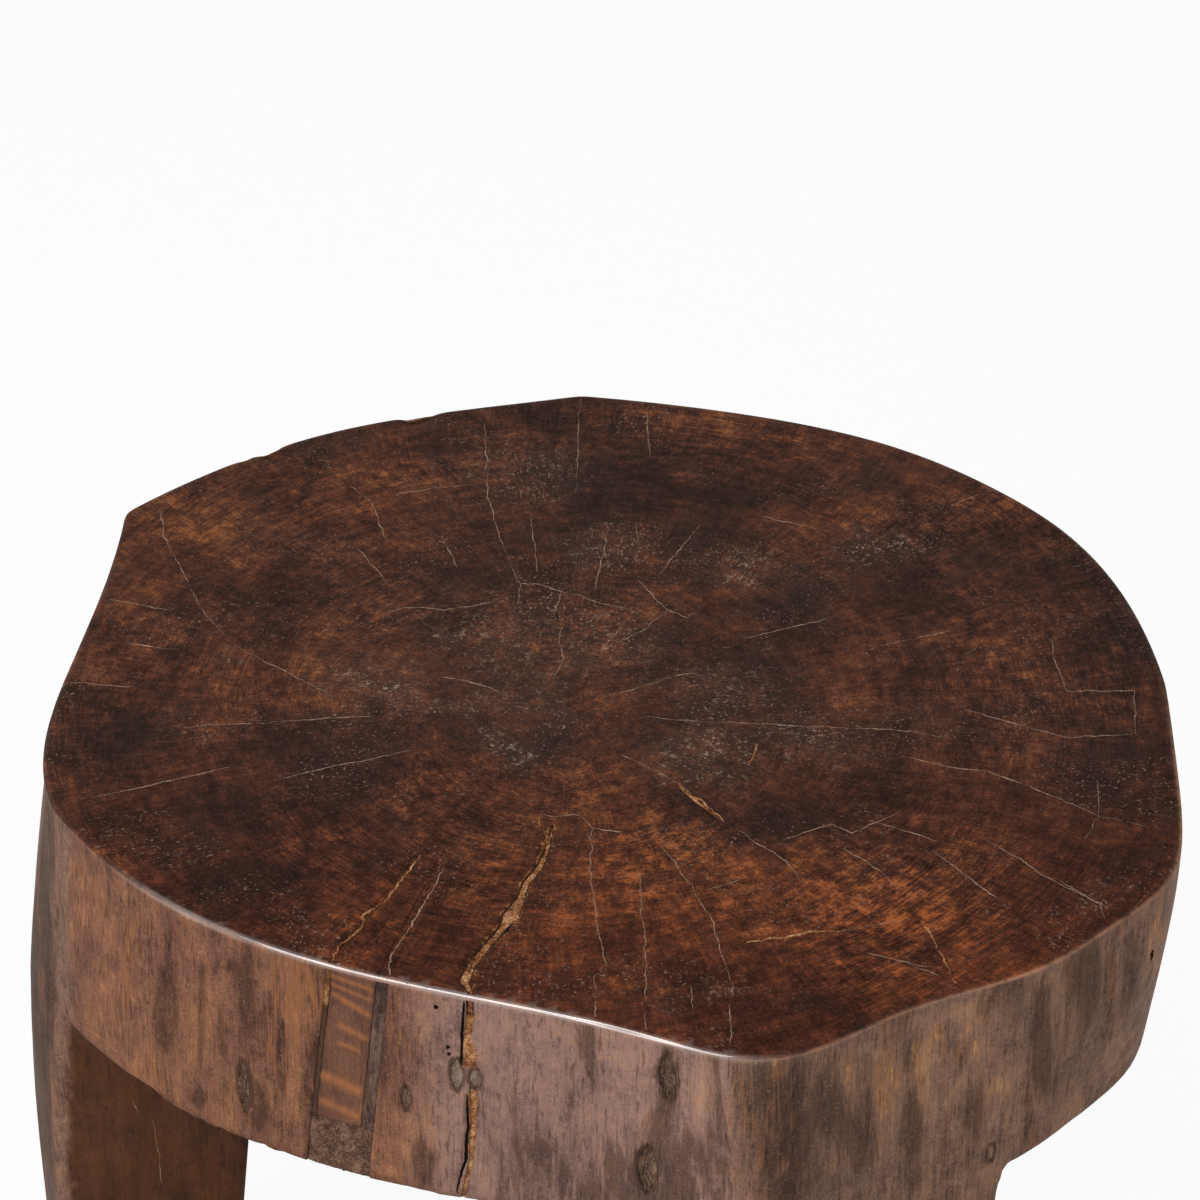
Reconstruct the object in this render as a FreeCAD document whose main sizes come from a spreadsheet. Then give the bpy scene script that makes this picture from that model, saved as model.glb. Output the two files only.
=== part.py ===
# A low stool carved from one log, with three legs and the repairs let into it.
# Millimetres, +Z up. The origin is on the floor, below the middle of the stool.
# A turn is a direction round the stool in degrees: 0 right, 90 back, 180 left, 270 front.
import FreeCAD, Part
import math
import os
import Sketcher

UP = FreeCAD.Vector(0, 0, 1)
FRONT_TURN = 270
SPLINE_DEGREE = 3

# The rim is four curved stretches that meet at the log's corners. Each row gives the turns
# of a stretch's handles, from corner to corner.
RIM_TURNS = (
    (2, 22, 42, 62, 82, 91),
    (91, 100, 118, 137, 146),
    (146, 155, 173, 191, 200),
    (200, 208, 222, 243, 264, 276, 284, 292, 302, 314, 324, 333, 344, 2),
)

# How far the handle at each turn stands outside the seat's radius
RIM_HANDLES = {
    2: 7, 22: 15.5, 42: 9, 62: 4.5, 82: -2,
    91: 0.5, 100: -3.5, 118: 8.5, 137: 8,
    146: 11, 155: -5, 173: -11, 191: 0.5,
    200: -2.5, 208: -6, 222: -11, 243: -23, 264: -24, 276: -11, 284: 9, 292: 10, 302: 1,
    314: 17.5, 324: 18, 333: 29.5, 344: 14,
}

SIZES = {
    # The carved block
    "seat_radius": 190,
    "seat_height": 300,
    "skirt_depth": 85,
    "rim_ease": 1.6,
    "right_brow_round": 9,
    # Below the rim the log leans to the left and swells, bulges on the left and is cut
    # back on the right
    "belly_drop": 42,
    "belly_lean": 2.5,
    "belly_swell": 1.5,
    "belly_left_bulge": 3,
    "belly_right_undercut": 1,
    "brow_lean": 4.5,
    "brow_swell": 2,
    "brow_left_bulge": 6.5,
    "brow_right_undercut": 5,
    "knee_height": 110,
    "knee_lean": 5,
    "knee_swell": 1,
    "knee_left_bulge": 12,
    "knee_right_undercut": 4,
    "floor_lean": 5,
    "floor_swell": -2,
    "floor_left_bulge": 10,
    "floor_right_undercut": 4,
    # The legs, measured at the floor
    "left_leg_turn": 183.5,
    "front_leg_turn": 296,
    "back_leg_turn": 60,
    "leg_thickness": 50,
    "leg_width": 70,
    "leg_taper": 5.5,
    "leg_arris_round": 3,
    "leg_bevel": 8,
    # The wedge let into the front left of the skirt
    "wedge_turn": 249.6,
    "wedge_side": -18.3,
    "wedge_slant": 5.8,
    "wedge_outer_width": 16,
    "wedge_inner_width": 7,
    "wedge_length": 66,
    "wedge_drop": 63,
    "wedge_left_joint": 2,
    "wedge_right_joint": 4.5,
    "wedge_inner_joint": 1,
    "wedge_foot_depth": 26,
    # The main check, which runs from near the pith to the rim and down the skirt
    "check_turn": 253.4,
    "check_side": 8.5,
    "check_length": 91,
    "check_width": 3.2,
    "check_top_depth": 8,
    "check_skirt_depth": 14,
    "check_upper_end": 28,
    "check_lower_start": 37,
    "crack_width": 1,
    # Putty lumps where the check crosses a small knot
    "putty_width": 4.2,
    "putty_height": 13,
    "putty_depth": 8,
    "knot_depth": 6,
    # The short filled checks on the seat
    "short_check_depth": 3,
    "short_check_width": 1.4,
    # How far a cutting tool stands out past the surface that it cuts
    "tool_reach": 40,
}

# Shares of the left bulge and of the right undercut that the handles take below the rim
LEFT_BULGE = {155: 0.4, 173: 1, 191: 0.8}
RIGHT_UNDERCUT = {324: 0.6, 333: 1, 344: 1, 2: 1, 22: 1, 42: 0.6}

# The legs, each with the two rim handles beside it
LEG_TURNS = {"left": (173, 191), "front": (284, 292), "back": (62, 62)}

# Stations along the main check on the seat, from beyond the rim inwards: share of its
# length, sideways shift and width, both in check widths
CHECK_TOP = (
    (-0.30, 0.4, 0.8),
    (0.05, 0.4, 0.8),
    (0.10, -0.9, 1.2),
    (0.20, -1.0, 1.2),
    (0.32, -0.4, 1.0),
    (0.43, 0.2, 1.0),
    (0.50, 0.4, 1.9),
    (0.60, 0.5, 1.0),
    (0.70, 0.3, 0.9),
    (0.80, 0.9, 0.9),
    (0.91, 0.7, 0.7),
    (1.04, 0.1, 0.4),
)
# The stretch of those stations that has an open crack beside the filler
CRACK_TOP = slice(3, 9)

# Stations down the main check on the skirt: share of the filler's own height, its left
# edge and its width, both in check widths
CHECK_UPPER = (
    (0.00, 0.0, 0.8),
    (0.45, -0.3, 0.8),
    (0.75, -0.4, 1.6),
    (1.00, -0.3, 1.3),
)
CHECK_LOWER = (
    (0.00, 0.4, 0.7),
    (0.30, 0.4, 0.6),
    (0.60, 0.2, 0.5),
    (1.00, -0.9, 0.4),
)

# Bark-lined pin knots in the skirt: turn, drop below the rim, width and height
PIN_KNOTS = (
    (229.5, 61, 4.5, 22),
    (249.3, 46, 3, 11),
    (277.7, 14, 5, 18),
    (275.8, 53, 6, 20),
    (310.6, 72, 3, 8),
)

# Short filled checks on the seat: distance from the middle and turn of each end
SHORT_CHECKS = (
    (53.5, 300.0, 84.6, 302.5),
    (141.7, 289.4, 144.6, 296.3),
    (146.0, 298.6, 157.5, 309.2),
)

# How far out the wood between the legs is cut away
WASTE_REACH = "Sizes.seat_radius + 3 * Sizes.tool_reach"

PARTS_FOLDER = "parts"
TINY = 0.01

doc = FreeCAD.newDocument("low_stool")


def make_sheet():
    """Writes every driving size to its own named cell."""
    sheet = doc.addObject("Spreadsheet::Sheet", "Sizes")
    cells = dict(SIZES)
    for turn, distance in RIM_HANDLES.items():
        cells[handle_name(turn)] = distance
    for index, (turn, drop, width, height) in enumerate(PIN_KNOTS, 1):
        cells[f"knot_{index}_turn"] = turn
        cells[f"knot_{index}_drop"] = drop
        cells[f"knot_{index}_width"] = width
        cells[f"knot_{index}_height"] = height
    for index, (near, near_turn, far, far_turn) in enumerate(SHORT_CHECKS, 1):
        cells[f"short_check_{index}_near"] = near
        cells[f"short_check_{index}_near_turn"] = near_turn
        cells[f"short_check_{index}_far"] = far
        cells[f"short_check_{index}_far_turn"] = far_turn
    for row, (name, value) in enumerate(cells.items(), 1):
        sheet.set(f"A{row}", name)
        sheet.set(f"B{row}", str(value))
        sheet.setAlias(f"B{row}", name)
    doc.recompute()
    return sheet


def handle_name(turn):
    """Cell of the rim handle at a turn."""
    return f"rim_{turn:03d}"


sheet = make_sheet()


def value(expression):
    """Number that an expression on the sheet has now."""
    result = sheet.evalExpression(expression)
    return getattr(result, "Value", result)


def origin_plane(body, role):
    """One of a body's own origin planes."""
    return next(part for part in body.Origin.OriginFeatures if part.Role == role)


def new_sketch(body, name, role, offset):
    """Empty sketch on an origin plane of its body, moved along the plane's normal."""
    sketch = body.newObject("Sketcher::SketchObject", name)
    sketch.AttachmentSupport = [(origin_plane(body, role), "")]
    sketch.MapMode = "FlatFace"
    sketch.setExpression("AttachmentOffset.Base.z", offset)
    return sketch


def pin(sketch, geometry, vertex, across, along):
    """Ties a point of a sketch to two expressions on the sheet."""
    for kind, expression in (("DistanceX", across), ("DistanceY", along)):
        place = Sketcher.Constraint(kind, -1, 1, geometry, vertex, value(expression))
        index = sketch.addConstraint(place)
        name = f"{kind}_{index}"
        sketch.renameConstraint(index, name)
        sketch.setExpression(f"Constraints.{name}", expression)


def add_polygon(sketch, corners):
    """Closed run of straight lines through corners, each a pair of expressions."""
    points = [FreeCAD.Vector(value(x), value(y), 0) for x, y in corners]
    lines = []
    for start, end in zip(points, points[1:] + points[:1]):
        lines.append(sketch.addGeometry(Part.LineSegment(start, end)))
    for line, following in zip(lines, lines[1:] + lines[:1]):
        sketch.addConstraint(Sketcher.Constraint("Coincident", line, 2, following, 1))
    for line, (x, y) in zip(lines, corners):
        pin(sketch, line, 1, x, y)


def add_spline(sketch, handles):
    """Curved stretch whose handles are pairs of expressions."""
    poles = [FreeCAD.Vector(value(x), value(y), 0) for x, y in handles]
    inner_knots = len(poles) - SPLINE_DEGREE - 1
    ends = [SPLINE_DEGREE + 1]
    curve = Part.BSplineCurve()
    curve.buildFromPolesMultsKnots(
        poles, ends + [1] * inner_knots + ends, list(range(inner_knots + 2)), False, SPLINE_DEGREE)
    spline = sketch.addGeometry(curve)
    for index, (pole, (x, y)) in enumerate(zip(poles, handles)):
        knob = sketch.addGeometry(Part.Circle(pole, UP, 1), True)
        alignment = "InternalAlignment:Sketcher::BSplineControlPoint"
        sketch.addConstraint(Sketcher.Constraint(alignment, knob, 3, spline, index))
        sketch.addConstraint(Sketcher.Constraint("Weight", knob, 1.0))
        pin(sketch, knob, 3, x, y)


def rim_distance(turn):
    """How far a handle stands from the middle at the rim."""
    return f"(Sizes.seat_radius + Sizes.{handle_name(turn)})"


def handle_distance(turn, level):
    """How far a handle stands from the log's own middle at a level below the rim."""
    terms = [rim_distance(turn), f"Sizes.{level}_swell"]
    if turn in LEFT_BULGE:
        terms.append(f"{LEFT_BULGE[turn]} * Sizes.{level}_left_bulge")
    if turn in RIGHT_UNDERCUT:
        terms.append(f"-{RIGHT_UNDERCUT[turn]} * Sizes.{level}_right_undercut")
    return "(" + " + ".join(terms) + ")"


def rim_section(body):
    """The seat's outline."""
    sketch = new_sketch(body, "rim_outline", "XY_Plane", "Sizes.seat_height")
    for stretch in RIM_TURNS:
        add_spline(sketch, [turned(rim_distance(turn), "0", str(turn)) for turn in stretch])
    return sketch


def lower_section(body, level, height):
    """The log's outline at a level below the rim."""
    sketch = new_sketch(body, f"{level}_outline", "XY_Plane", height)
    for stretch in RIM_TURNS:
        handles = []
        for turn in stretch:
            x, y = turned(handle_distance(turn, level), "0", str(turn))
            handles.append((f"{x} - Sizes.{level}_lean", y))
        add_spline(sketch, handles)
    return sketch


def turned(out, across, turn):
    """Place of a point given outward along a turn and across it, as two expressions."""
    angle = f"{turn} * 1 deg"
    x = f"({out}) * cos({angle}) - ({across}) * sin({angle})"
    y = f"({out}) * sin({angle}) + ({across}) * cos({angle})"
    return x, y


def leg_footprint(leg, handles):
    """Corners of a leg at the floor, run out past the log; its outer corners are bevelled."""
    turn = f"Sizes.{leg}_leg_turn"
    first, second = [handle_distance(handle, "floor") for handle in handles]
    surface = f"({first} + {second}) / 2 - Sizes.floor_lean * cos({turn} * 1 deg)"
    shoulder = f"{surface} - Sizes.leg_bevel"
    half = "Sizes.leg_width / 2"
    side = (
        (f"{surface} - Sizes.leg_thickness", half),
        (shoulder, half),
        (f"{shoulder} + 2 * Sizes.leg_bevel", f"{half} - 2 * Sizes.leg_bevel"),
        ("Sizes.seat_radius + 2 * Sizes.tool_reach", f"{half} - 2 * Sizes.leg_bevel"),
    )
    corners = [turned(out, across, turn) for out, across in side]
    corners += [turned(out, f"-({across})", turn) for out, across in reversed(side)]
    return corners


def pick_edges(shape, test):
    """Names of the edges of a shape that pass a test."""
    return [f"Edge{index}" for index, edge in enumerate(shape.Edges, 1) if test(edge)]


def finish_edges(body, name, kind, test, sizes):
    """Chamfers or rounds the edges of a body that pass a test."""
    base = body.Tip
    edges = pick_edges(base.Shape, test)
    if not edges:
        raise ValueError(f"{name} finds no edge")
    finish = body.newObject(f"PartDesign::{kind}", name)
    finish.Base = (base, edges)
    for size, expression in sizes.items():
        finish.setExpression(size, expression)
    doc.recompute()


def make_trunk():
    """The carved block before any repair: log, leg bays, worn rim and rounded right brow."""
    body = doc.addObject("PartDesign::Body", "trunk_block")
    brow = "Sizes.seat_height - Sizes.skirt_depth"
    belly = "Sizes.seat_height - Sizes.belly_drop"
    rim = rim_section(body)
    lower = [
        lower_section(body, "belly", belly),
        lower_section(body, "brow", brow),
        lower_section(body, "knee", "Sizes.knee_height"),
        lower_section(body, "floor", "0"),
    ]
    log = body.newObject("PartDesign::AdditiveLoft", "log")
    log.Profile = rim
    log.Sections = lower
    doc.recompute()

    waste = new_sketch(body, "waste_outline", "XY_Plane", "0")
    circle = waste.addGeometry(Part.Circle(FreeCAD.Vector(), UP, value(WASTE_REACH)))
    waste.addConstraint(Sketcher.Constraint("Coincident", circle, 3, -1, 1))
    radius = waste.addConstraint(Sketcher.Constraint("Radius", circle, value(WASTE_REACH)))
    waste.renameConstraint(radius, "reach")
    waste.setExpression("Constraints.reach", WASTE_REACH)
    for leg, handles in LEG_TURNS.items():
        add_polygon(waste, leg_footprint(leg, handles))
    bays = body.newObject("PartDesign::Pocket", "leg_bays")
    bays.Profile = waste
    bays.Reversed = True
    bays.setExpression("Length", brow)
    bays.setExpression("TaperAngle", "Sizes.leg_taper")
    doc.recompute()
    if bays.Shape.Volume >= log.Shape.Volume:
        raise ValueError("the leg bays cut nothing")

    seat_level = value("Sizes.seat_height")
    brow_level = value(brow)
    leg_inside = value("Sizes.seat_radius - Sizes.leg_thickness")
    leg_middle = value("Sizes.seat_radius - Sizes.leg_thickness / 2")

    def is_rim(edge):
        return edge.BoundBox.ZMin > seat_level - TINY

    def is_leg_arris(edge):
        foot = min((vertex.Point for vertex in edge.Vertexes), key=lambda point: point.z)
        stands = foot.z < TINY and edge.BoundBox.ZMax > brow_level - TINY
        return stands and math.hypot(foot.x, foot.y) < leg_middle

    def is_right_brow(edge):
        middle = edge.valueAt((edge.FirstParameter + edge.LastParameter) / 2)
        level = edge.BoundBox.ZMin > brow_level - TINY and edge.BoundBox.ZMax < brow_level + TINY
        return level and middle.x > leg_inside

    finish_edges(body, "worn_rim", "Chamfer", is_rim, {"Size": "Sizes.rim_ease"})
    finish_edges(body, "leg_arrises", "Fillet", is_leg_arris, {"Radius": "Sizes.leg_arris_round"})
    finish_edges(body, "right_brow", "Fillet", is_right_brow, {"Radius": "Sizes.right_brow_round"})
    return body


trunk = make_trunk()


def tool_body(name, turn):
    """Empty body that is drawn facing the front and turned to its place round the stool."""
    body = doc.addObject("PartDesign::Body", name)
    body.Placement = FreeCAD.Placement(FreeCAD.Vector(), FreeCAD.Rotation(UP, 1))
    body.setExpression("Placement.Rotation.Angle", f"{turn} - {FRONT_TURN}")
    return body


def pad_tool(name, turn, role, offset, length, outlines):
    """Tool made by padding one or more polygons."""
    body = tool_body(name, turn)
    sketch = new_sketch(body, f"{name}_outline", role, offset)
    for corners in outlines:
        add_polygon(sketch, corners)
    pad = body.newObject("PartDesign::Pad", f"{name}_pad")
    pad.Profile = sketch
    pad.setExpression("Length", length)
    return body


WEDGE_SURFACE = rim_distance(243)


def wedge_tool(name, outer, inner, depth, start, end):
    """Slanting block between two drops below the rim, narrowing inwards from the skirt.

    outer and inner are the left and right edges at the skirt and at the inner end.
    """
    body = tool_body(name, "Sizes.wedge_turn")
    sketch = new_sketch(body, f"{name}_outline", "XY_Plane", f"Sizes.seat_height - ({end})")
    lean = "tan(Sizes.wedge_slant * 1 deg)"
    shift = f"Sizes.wedge_side - ({end}) * {lean}"
    spread = f"(1 + Sizes.tool_reach / ({depth}))"
    back = f"{depth} - {WEDGE_SURFACE}"
    front = f"-{WEDGE_SURFACE} - Sizes.tool_reach"
    left, right = [f"({near}) + (({far}) - ({near})) * {spread}" for far, near in zip(outer, inner)]
    add_polygon(sketch, (
        (f"{shift} + {inner[0]}", back),
        (f"{shift} + {left}", front),
        (f"{shift} + {right}", front),
        (f"{shift} + {inner[1]}", back),
    ))
    pad = body.newObject("PartDesign::Pad", f"{name}_pad")
    pad.Profile = sketch
    pad.UseCustomVector = True
    pad.Direction = UP
    pad.AlongSketchNormal = True
    pad.setExpression("Direction.x", lean)
    pad.setExpression("Length", f"({end}) - ({start})")
    return body


def make_wedge_tools():
    """The wedge, the filler in the joints on both its sides and the filler at its foot."""
    half_out = "Sizes.wedge_outer_width / 2"
    half_in = "Sizes.wedge_inner_width / 2"
    left_out = f"-{half_out} - Sizes.wedge_left_joint"
    left_in = f"-{half_in} - Sizes.wedge_inner_joint"
    right_out = f"{half_out} + Sizes.wedge_right_joint"
    right_in = f"{half_in} + Sizes.wedge_inner_joint"
    above = "-Sizes.tool_reach"
    foot = "Sizes.wedge_drop"
    below = "Sizes.skirt_depth + Sizes.wedge_left_joint"
    length = "Sizes.wedge_length"
    depth = "Sizes.wedge_foot_depth"
    return {
        "repair_wedge": wedge_tool(
            "wedge", (f"-{half_out}", half_out), (f"-{half_in}", half_in), length, above, foot),
        "wedge_left_filler": wedge_tool(
            "left_joint", (left_out, f"-{half_out}"), (left_in, f"-{half_in}"), length, above, foot),
        "wedge_right_filler": wedge_tool(
            "right_joint", (half_out, right_out), (half_in, right_in), length, above, foot),
        "wedge_foot_filler": wedge_tool(
            "wedge_foot", (left_out, right_out), (left_out, right_out), depth, foot, below),
    }


CHECK_SURFACE = rim_distance(264)


def in_check_widths(count):
    """Length given in check widths, from the line of the main check."""
    return f"Sizes.check_side + {count} * Sizes.check_width"


def edge_along(stations, side):
    """Corners along one side, -1 or 1, of the main check on the seat."""
    corners = []
    for share, shift, width in stations:
        across = in_check_widths(shift + side * width / 2)
        corners.append((across, f"{share} * Sizes.check_length - {CHECK_SURFACE}"))
    return corners


def edge_down(stations, start, end, side):
    """Corners down one side, 0 left or 1 right, of a stretch of the check on the skirt."""
    corners = []
    for share, left, width in stations:
        height = f"Sizes.seat_height - ({start} + {share} * ({end} - {start}))"
        corners.append((in_check_widths(left + side * width), height))
    return corners


def moved(corners, step):
    """The same corners a step to the right."""
    return [(f"{across} + {step}", along) for across, along in corners]


def make_check_tools():
    """The fillers of the main check on the seat and down the skirt."""
    turn = "Sizes.check_turn"
    left = edge_along(CHECK_TOP, -1)
    right = edge_along(CHECK_TOP, 1)
    top_level = "Sizes.seat_height - Sizes.check_top_depth"
    top_length = "Sizes.check_top_depth + Sizes.tool_reach"
    skirt_level = f"{CHECK_SURFACE} - Sizes.check_skirt_depth"
    skirt_length = "Sizes.check_skirt_depth + Sizes.tool_reach"
    upper = ("Sizes.check_top_depth", "Sizes.check_upper_end")
    lower = ("Sizes.check_lower_start", "(Sizes.skirt_depth + Sizes.crack_width)")
    upper_left = edge_down(CHECK_UPPER, *upper, 0)
    lower_left = edge_down(CHECK_LOWER, *lower, 0)
    upper_band = upper_left + edge_down(CHECK_UPPER, *upper, 1)[::-1]
    lower_band = lower_left + edge_down(CHECK_LOWER, *lower, 1)[::-1]
    fillers = {
        "check_top_filler": pad_tool(
            "check_top", turn, "XY_Plane", top_level, top_length, [left + right[::-1]]),
        "check_upper_filler": pad_tool(
            "check_upper", turn, "XZ_Plane", skirt_level, skirt_length, [upper_band]),
        "check_lower_filler": pad_tool(
            "check_lower", turn, "XZ_Plane", skirt_level, skirt_length, [lower_band]),
    }
    start = (upper_left[0][0], "Sizes.seat_height + Sizes.tool_reach")
    skirt_edge = [start] + upper_left + lower_left
    skirt_crack = skirt_edge + moved(skirt_edge, "-Sizes.crack_width")[::-1]
    top_edge = right[CRACK_TOP]
    top_crack = top_edge + moved(top_edge[1:-1], "Sizes.crack_width")[::-1]
    cracks = [
        pad_tool("top_crack", turn, "XY_Plane", top_level, top_length, [top_crack]),
        pad_tool("skirt_crack", turn, "XZ_Plane", skirt_level, skirt_length, [skirt_crack]),
    ]
    return fillers, cracks


def skirt_distance(turn, height):
    """Distance from the middle to the outside of the carved block."""
    outward = FreeCAD.Rotation(UP, turn).multVec(FreeCAD.Vector(1, 0, 0))
    middle = FreeCAD.Vector(0, 0, height)
    probe = Part.makeLine(middle, middle + outward * value(WASTE_REACH))
    inside = probe.common(trunk.Shape)
    return max((vertex.Point - middle).Length for vertex in inside.Vertexes)


def add_spindle(sketch, across, along, width, height):
    """Upright outline of two arcs that meet in points above and below its middle."""
    lower = (across, f"{along} - ({height}) / 2")
    upper = (across, f"{along} + ({height}) / 2")
    radius = f"(({width}) ^ 2 + ({height}) ^ 2) / (4 * ({width}))"
    foot, top = [FreeCAD.Vector(value(x), value(y), 0) for x, y in (lower, upper)]
    bulge = FreeCAD.Vector(value(width) / 2, 0, 0)
    right = sketch.addGeometry(Part.Arc(foot, (foot + top) / 2 + bulge, top))
    left = sketch.addGeometry(Part.Arc(top, (foot + top) / 2 - bulge, foot))
    sketch.addConstraint(Sketcher.Constraint("Coincident", right, 2, left, 1))
    sketch.addConstraint(Sketcher.Constraint("Coincident", left, 2, right, 1))
    pin(sketch, right, 1, *lower)
    pin(sketch, right, 2, *upper)
    for side, arc in (("right", right), ("left", left)):
        index = sketch.addConstraint(Sketcher.Constraint("Radius", arc, value(radius)))
        sketch.renameConstraint(index, f"{side}_radius")
        sketch.setExpression(f"Constraints.{side}_radius", radius)


def plug_tool(name, turn, drop, across, width, height, depth):
    """Spindle-shaped plug let into the skirt to a depth below its outside."""
    level = f"Sizes.seat_height - ({drop})"
    outside = skirt_distance(value(turn), value(level))
    body = tool_body(name, turn)
    sketch = new_sketch(body, f"{name}_outline", "XZ_Plane", f"{outside} - {depth}")
    add_spindle(sketch, across, level, width, height)
    pad = body.newObject("PartDesign::Pad", f"{name}_pad")
    pad.Profile = sketch
    pad.setExpression("Length", f"{depth} + Sizes.tool_reach")
    return body


def make_plug_tools():
    """Putty lumps beside the check, and the pin knots of the skirt."""
    turn = "Sizes.check_turn"
    middle = "(Sizes.check_upper_end + Sizes.check_lower_start) / 2"
    left = "Sizes.check_side - Sizes.crack_width - Sizes.putty_width / 2"
    right = "Sizes.check_side + Sizes.crack_width + Sizes.putty_width / 2"
    short = "Sizes.check_lower_start - Sizes.check_upper_end - Sizes.crack_width"
    knots = doc.addObject("Part::Compound", "knots")
    knots.Links = [
        plug_tool(f"knot_{index}", f"Sizes.knot_{index}_turn", f"Sizes.knot_{index}_drop", "0",
                  f"Sizes.knot_{index}_width", f"Sizes.knot_{index}_height", "Sizes.knot_depth")
        for index in range(1, len(PIN_KNOTS) + 1)
    ]
    return {
        "left_putty": plug_tool(
            "putty_left", turn, middle, left, "Sizes.putty_width", "Sizes.putty_height", "Sizes.putty_depth"),
        "right_putty": plug_tool(
            "putty_right", turn, middle, right, "Sizes.putty_width", short, "Sizes.putty_depth"),
        "pin_knots": knots,
    }


def make_short_check_tool():
    """Thin slivers of filler in the short checks of the seat."""
    outlines = []
    half = "Sizes.short_check_width / 2"
    for index in range(1, len(SHORT_CHECKS) + 1):
        near = f"Sizes.short_check_{index}_near"
        far = f"Sizes.short_check_{index}_far"
        middle = f"({near} + {far}) / 2"
        middle_turn = f"({near}_turn + {far}_turn) / 2"
        outlines.append((
            turned(near, "0", f"{near}_turn"),
            turned(middle, f"-{half}", middle_turn),
            turned(far, "0", f"{far}_turn"),
            turned(middle, half, middle_turn),
        ))
    level = "Sizes.seat_height - Sizes.short_check_depth"
    length = "Sizes.short_check_depth + Sizes.tool_reach"
    return pad_tool("short_checks", str(FRONT_TURN), "XY_Plane", level, length, outlines)


def make_pieces():
    """Each repair as the part of the block inside its tool, and the trunk left round them."""
    fillers, cracks = make_check_tools()
    tools = make_wedge_tools() | fillers | make_plug_tools()
    tools["short_check_fillers"] = make_short_check_tool()
    doc.recompute()
    pieces = []
    for name, tool in tools.items():
        piece = doc.addObject("Part::Common", name)
        piece.Base = trunk
        piece.Tool = tool
        piece.Label = name
        pieces.append(piece)
    removed = doc.addObject("Part::MultiFuse", "removed_wood")
    removed.Shapes = list(tools.values()) + cracks
    carved = doc.addObject("Part::Cut", "carved_trunk")
    carved.Base = trunk
    carved.Tool = removed
    carved.Label = "carved_trunk"
    doc.recompute()
    return [carved] + pieces


def check_and_write(pieces):
    """Stops at any failed object, then writes each piece to a file of its own name."""
    for item in doc.Objects:
        if "Invalid" in item.State or "Error" in item.State:
            raise ValueError(f"{item.Label} failed")
    for piece in pieces:
        if piece.Shape.isNull() or not piece.Shape.isValid() or not piece.Shape.Solids:
            raise ValueError(f"{piece.Label} has no sound shape")
    os.makedirs(PARTS_FOLDER, exist_ok=True)
    for piece in pieces:
        piece.Shape.exportStep(f"{PARTS_FOLDER}/{piece.Label}.step")
        print(piece.Label, len(piece.Shape.Solids), round(piece.Shape.Volume))


check_and_write(make_pieces())
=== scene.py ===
import math

import bmesh
import bpy
import numpy as np
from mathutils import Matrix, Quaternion, Vector
from mathutils.bvhtree import BVHTree


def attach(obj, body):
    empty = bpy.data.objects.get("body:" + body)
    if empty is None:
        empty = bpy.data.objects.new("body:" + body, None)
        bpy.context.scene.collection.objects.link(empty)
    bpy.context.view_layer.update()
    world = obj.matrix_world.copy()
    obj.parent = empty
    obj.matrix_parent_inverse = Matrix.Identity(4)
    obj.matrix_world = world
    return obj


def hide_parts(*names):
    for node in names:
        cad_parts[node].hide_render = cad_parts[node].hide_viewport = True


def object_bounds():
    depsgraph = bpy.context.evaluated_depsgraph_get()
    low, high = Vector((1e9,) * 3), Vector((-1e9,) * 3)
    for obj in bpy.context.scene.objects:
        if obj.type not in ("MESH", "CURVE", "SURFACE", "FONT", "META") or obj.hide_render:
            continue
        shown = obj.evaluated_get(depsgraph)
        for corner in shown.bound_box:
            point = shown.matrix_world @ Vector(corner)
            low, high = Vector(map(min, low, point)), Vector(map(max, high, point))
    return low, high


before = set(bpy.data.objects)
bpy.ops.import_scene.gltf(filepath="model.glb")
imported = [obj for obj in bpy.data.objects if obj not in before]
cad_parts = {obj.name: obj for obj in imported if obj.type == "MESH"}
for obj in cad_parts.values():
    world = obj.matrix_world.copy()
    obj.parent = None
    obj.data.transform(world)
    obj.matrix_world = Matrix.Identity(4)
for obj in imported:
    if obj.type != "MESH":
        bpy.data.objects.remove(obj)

CAD_LOW, CAD_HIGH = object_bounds()
SEAT_Z = CAD_HIGH.z
MM = 0.001
BODY = "root"

# The camera that took the photo: its place in metres, its tilt, and its focal length in pixels.
PHOTO_SIDE = 1200
FOCAL = 4857.0
SENSOR = 36.0
TILT = math.radians(35.0)
CAMERA_AT = Vector((0.00349, -1.3356, 1.2751))

# Heartwood centre of the log, where the drying checks meet.
PITH = (-0.005, -0.008)

# Each inlay's grain, its voxel size, how far its face has shrunk below the wood and how lumpy it
# dried, in millimetres.
INLAY_FORMS = {
    "repair_wedge": (0.8, 0.0, 0.1), "wedge_left_filler": (0.55, 0.05, 0.4),
    "wedge_right_filler": (0.55, 0.1, 0.4), "wedge_foot_filler": (0.55, 0.15, 0.9),
    "check_top_filler": (0.4, 0.0, 1.3), "check_upper_filler": (0.4, 0.1, 0.7),
    "check_lower_filler": (0.4, 0.15, 0.8), "left_putty": (0.4, 0.0, 0.5), "right_putty": (0.4, 0.0, 0.6),
    "pin_knots": (0.4, 0.25, 0.9), "short_check_fillers": (0.35, 0.0, 0.2)}
INLAYS = tuple(INLAY_FORMS)
# Fillers that a black slit runs through, and joints that are waxed over on the seat.
CRACKED_FILLERS = ("check_top_filler", "check_upper_filler", "check_lower_filler")
WAXED_JOINTS = ("wedge_left_filler", "wedge_right_filler")
# The main check: its pieces, its turn round the log, and how many millimetres the pieces are spread
# each way to close the block over it.
CHECK_PIECES = CRACKED_FILLERS + ("left_putty", "right_putty")
CHECK_TURN = math.radians(253.4)
CHECK_SPREAD = 1.1
# Room left round each inlay in its recess.
RECESS_ROOM = 0.02 * MM

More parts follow.
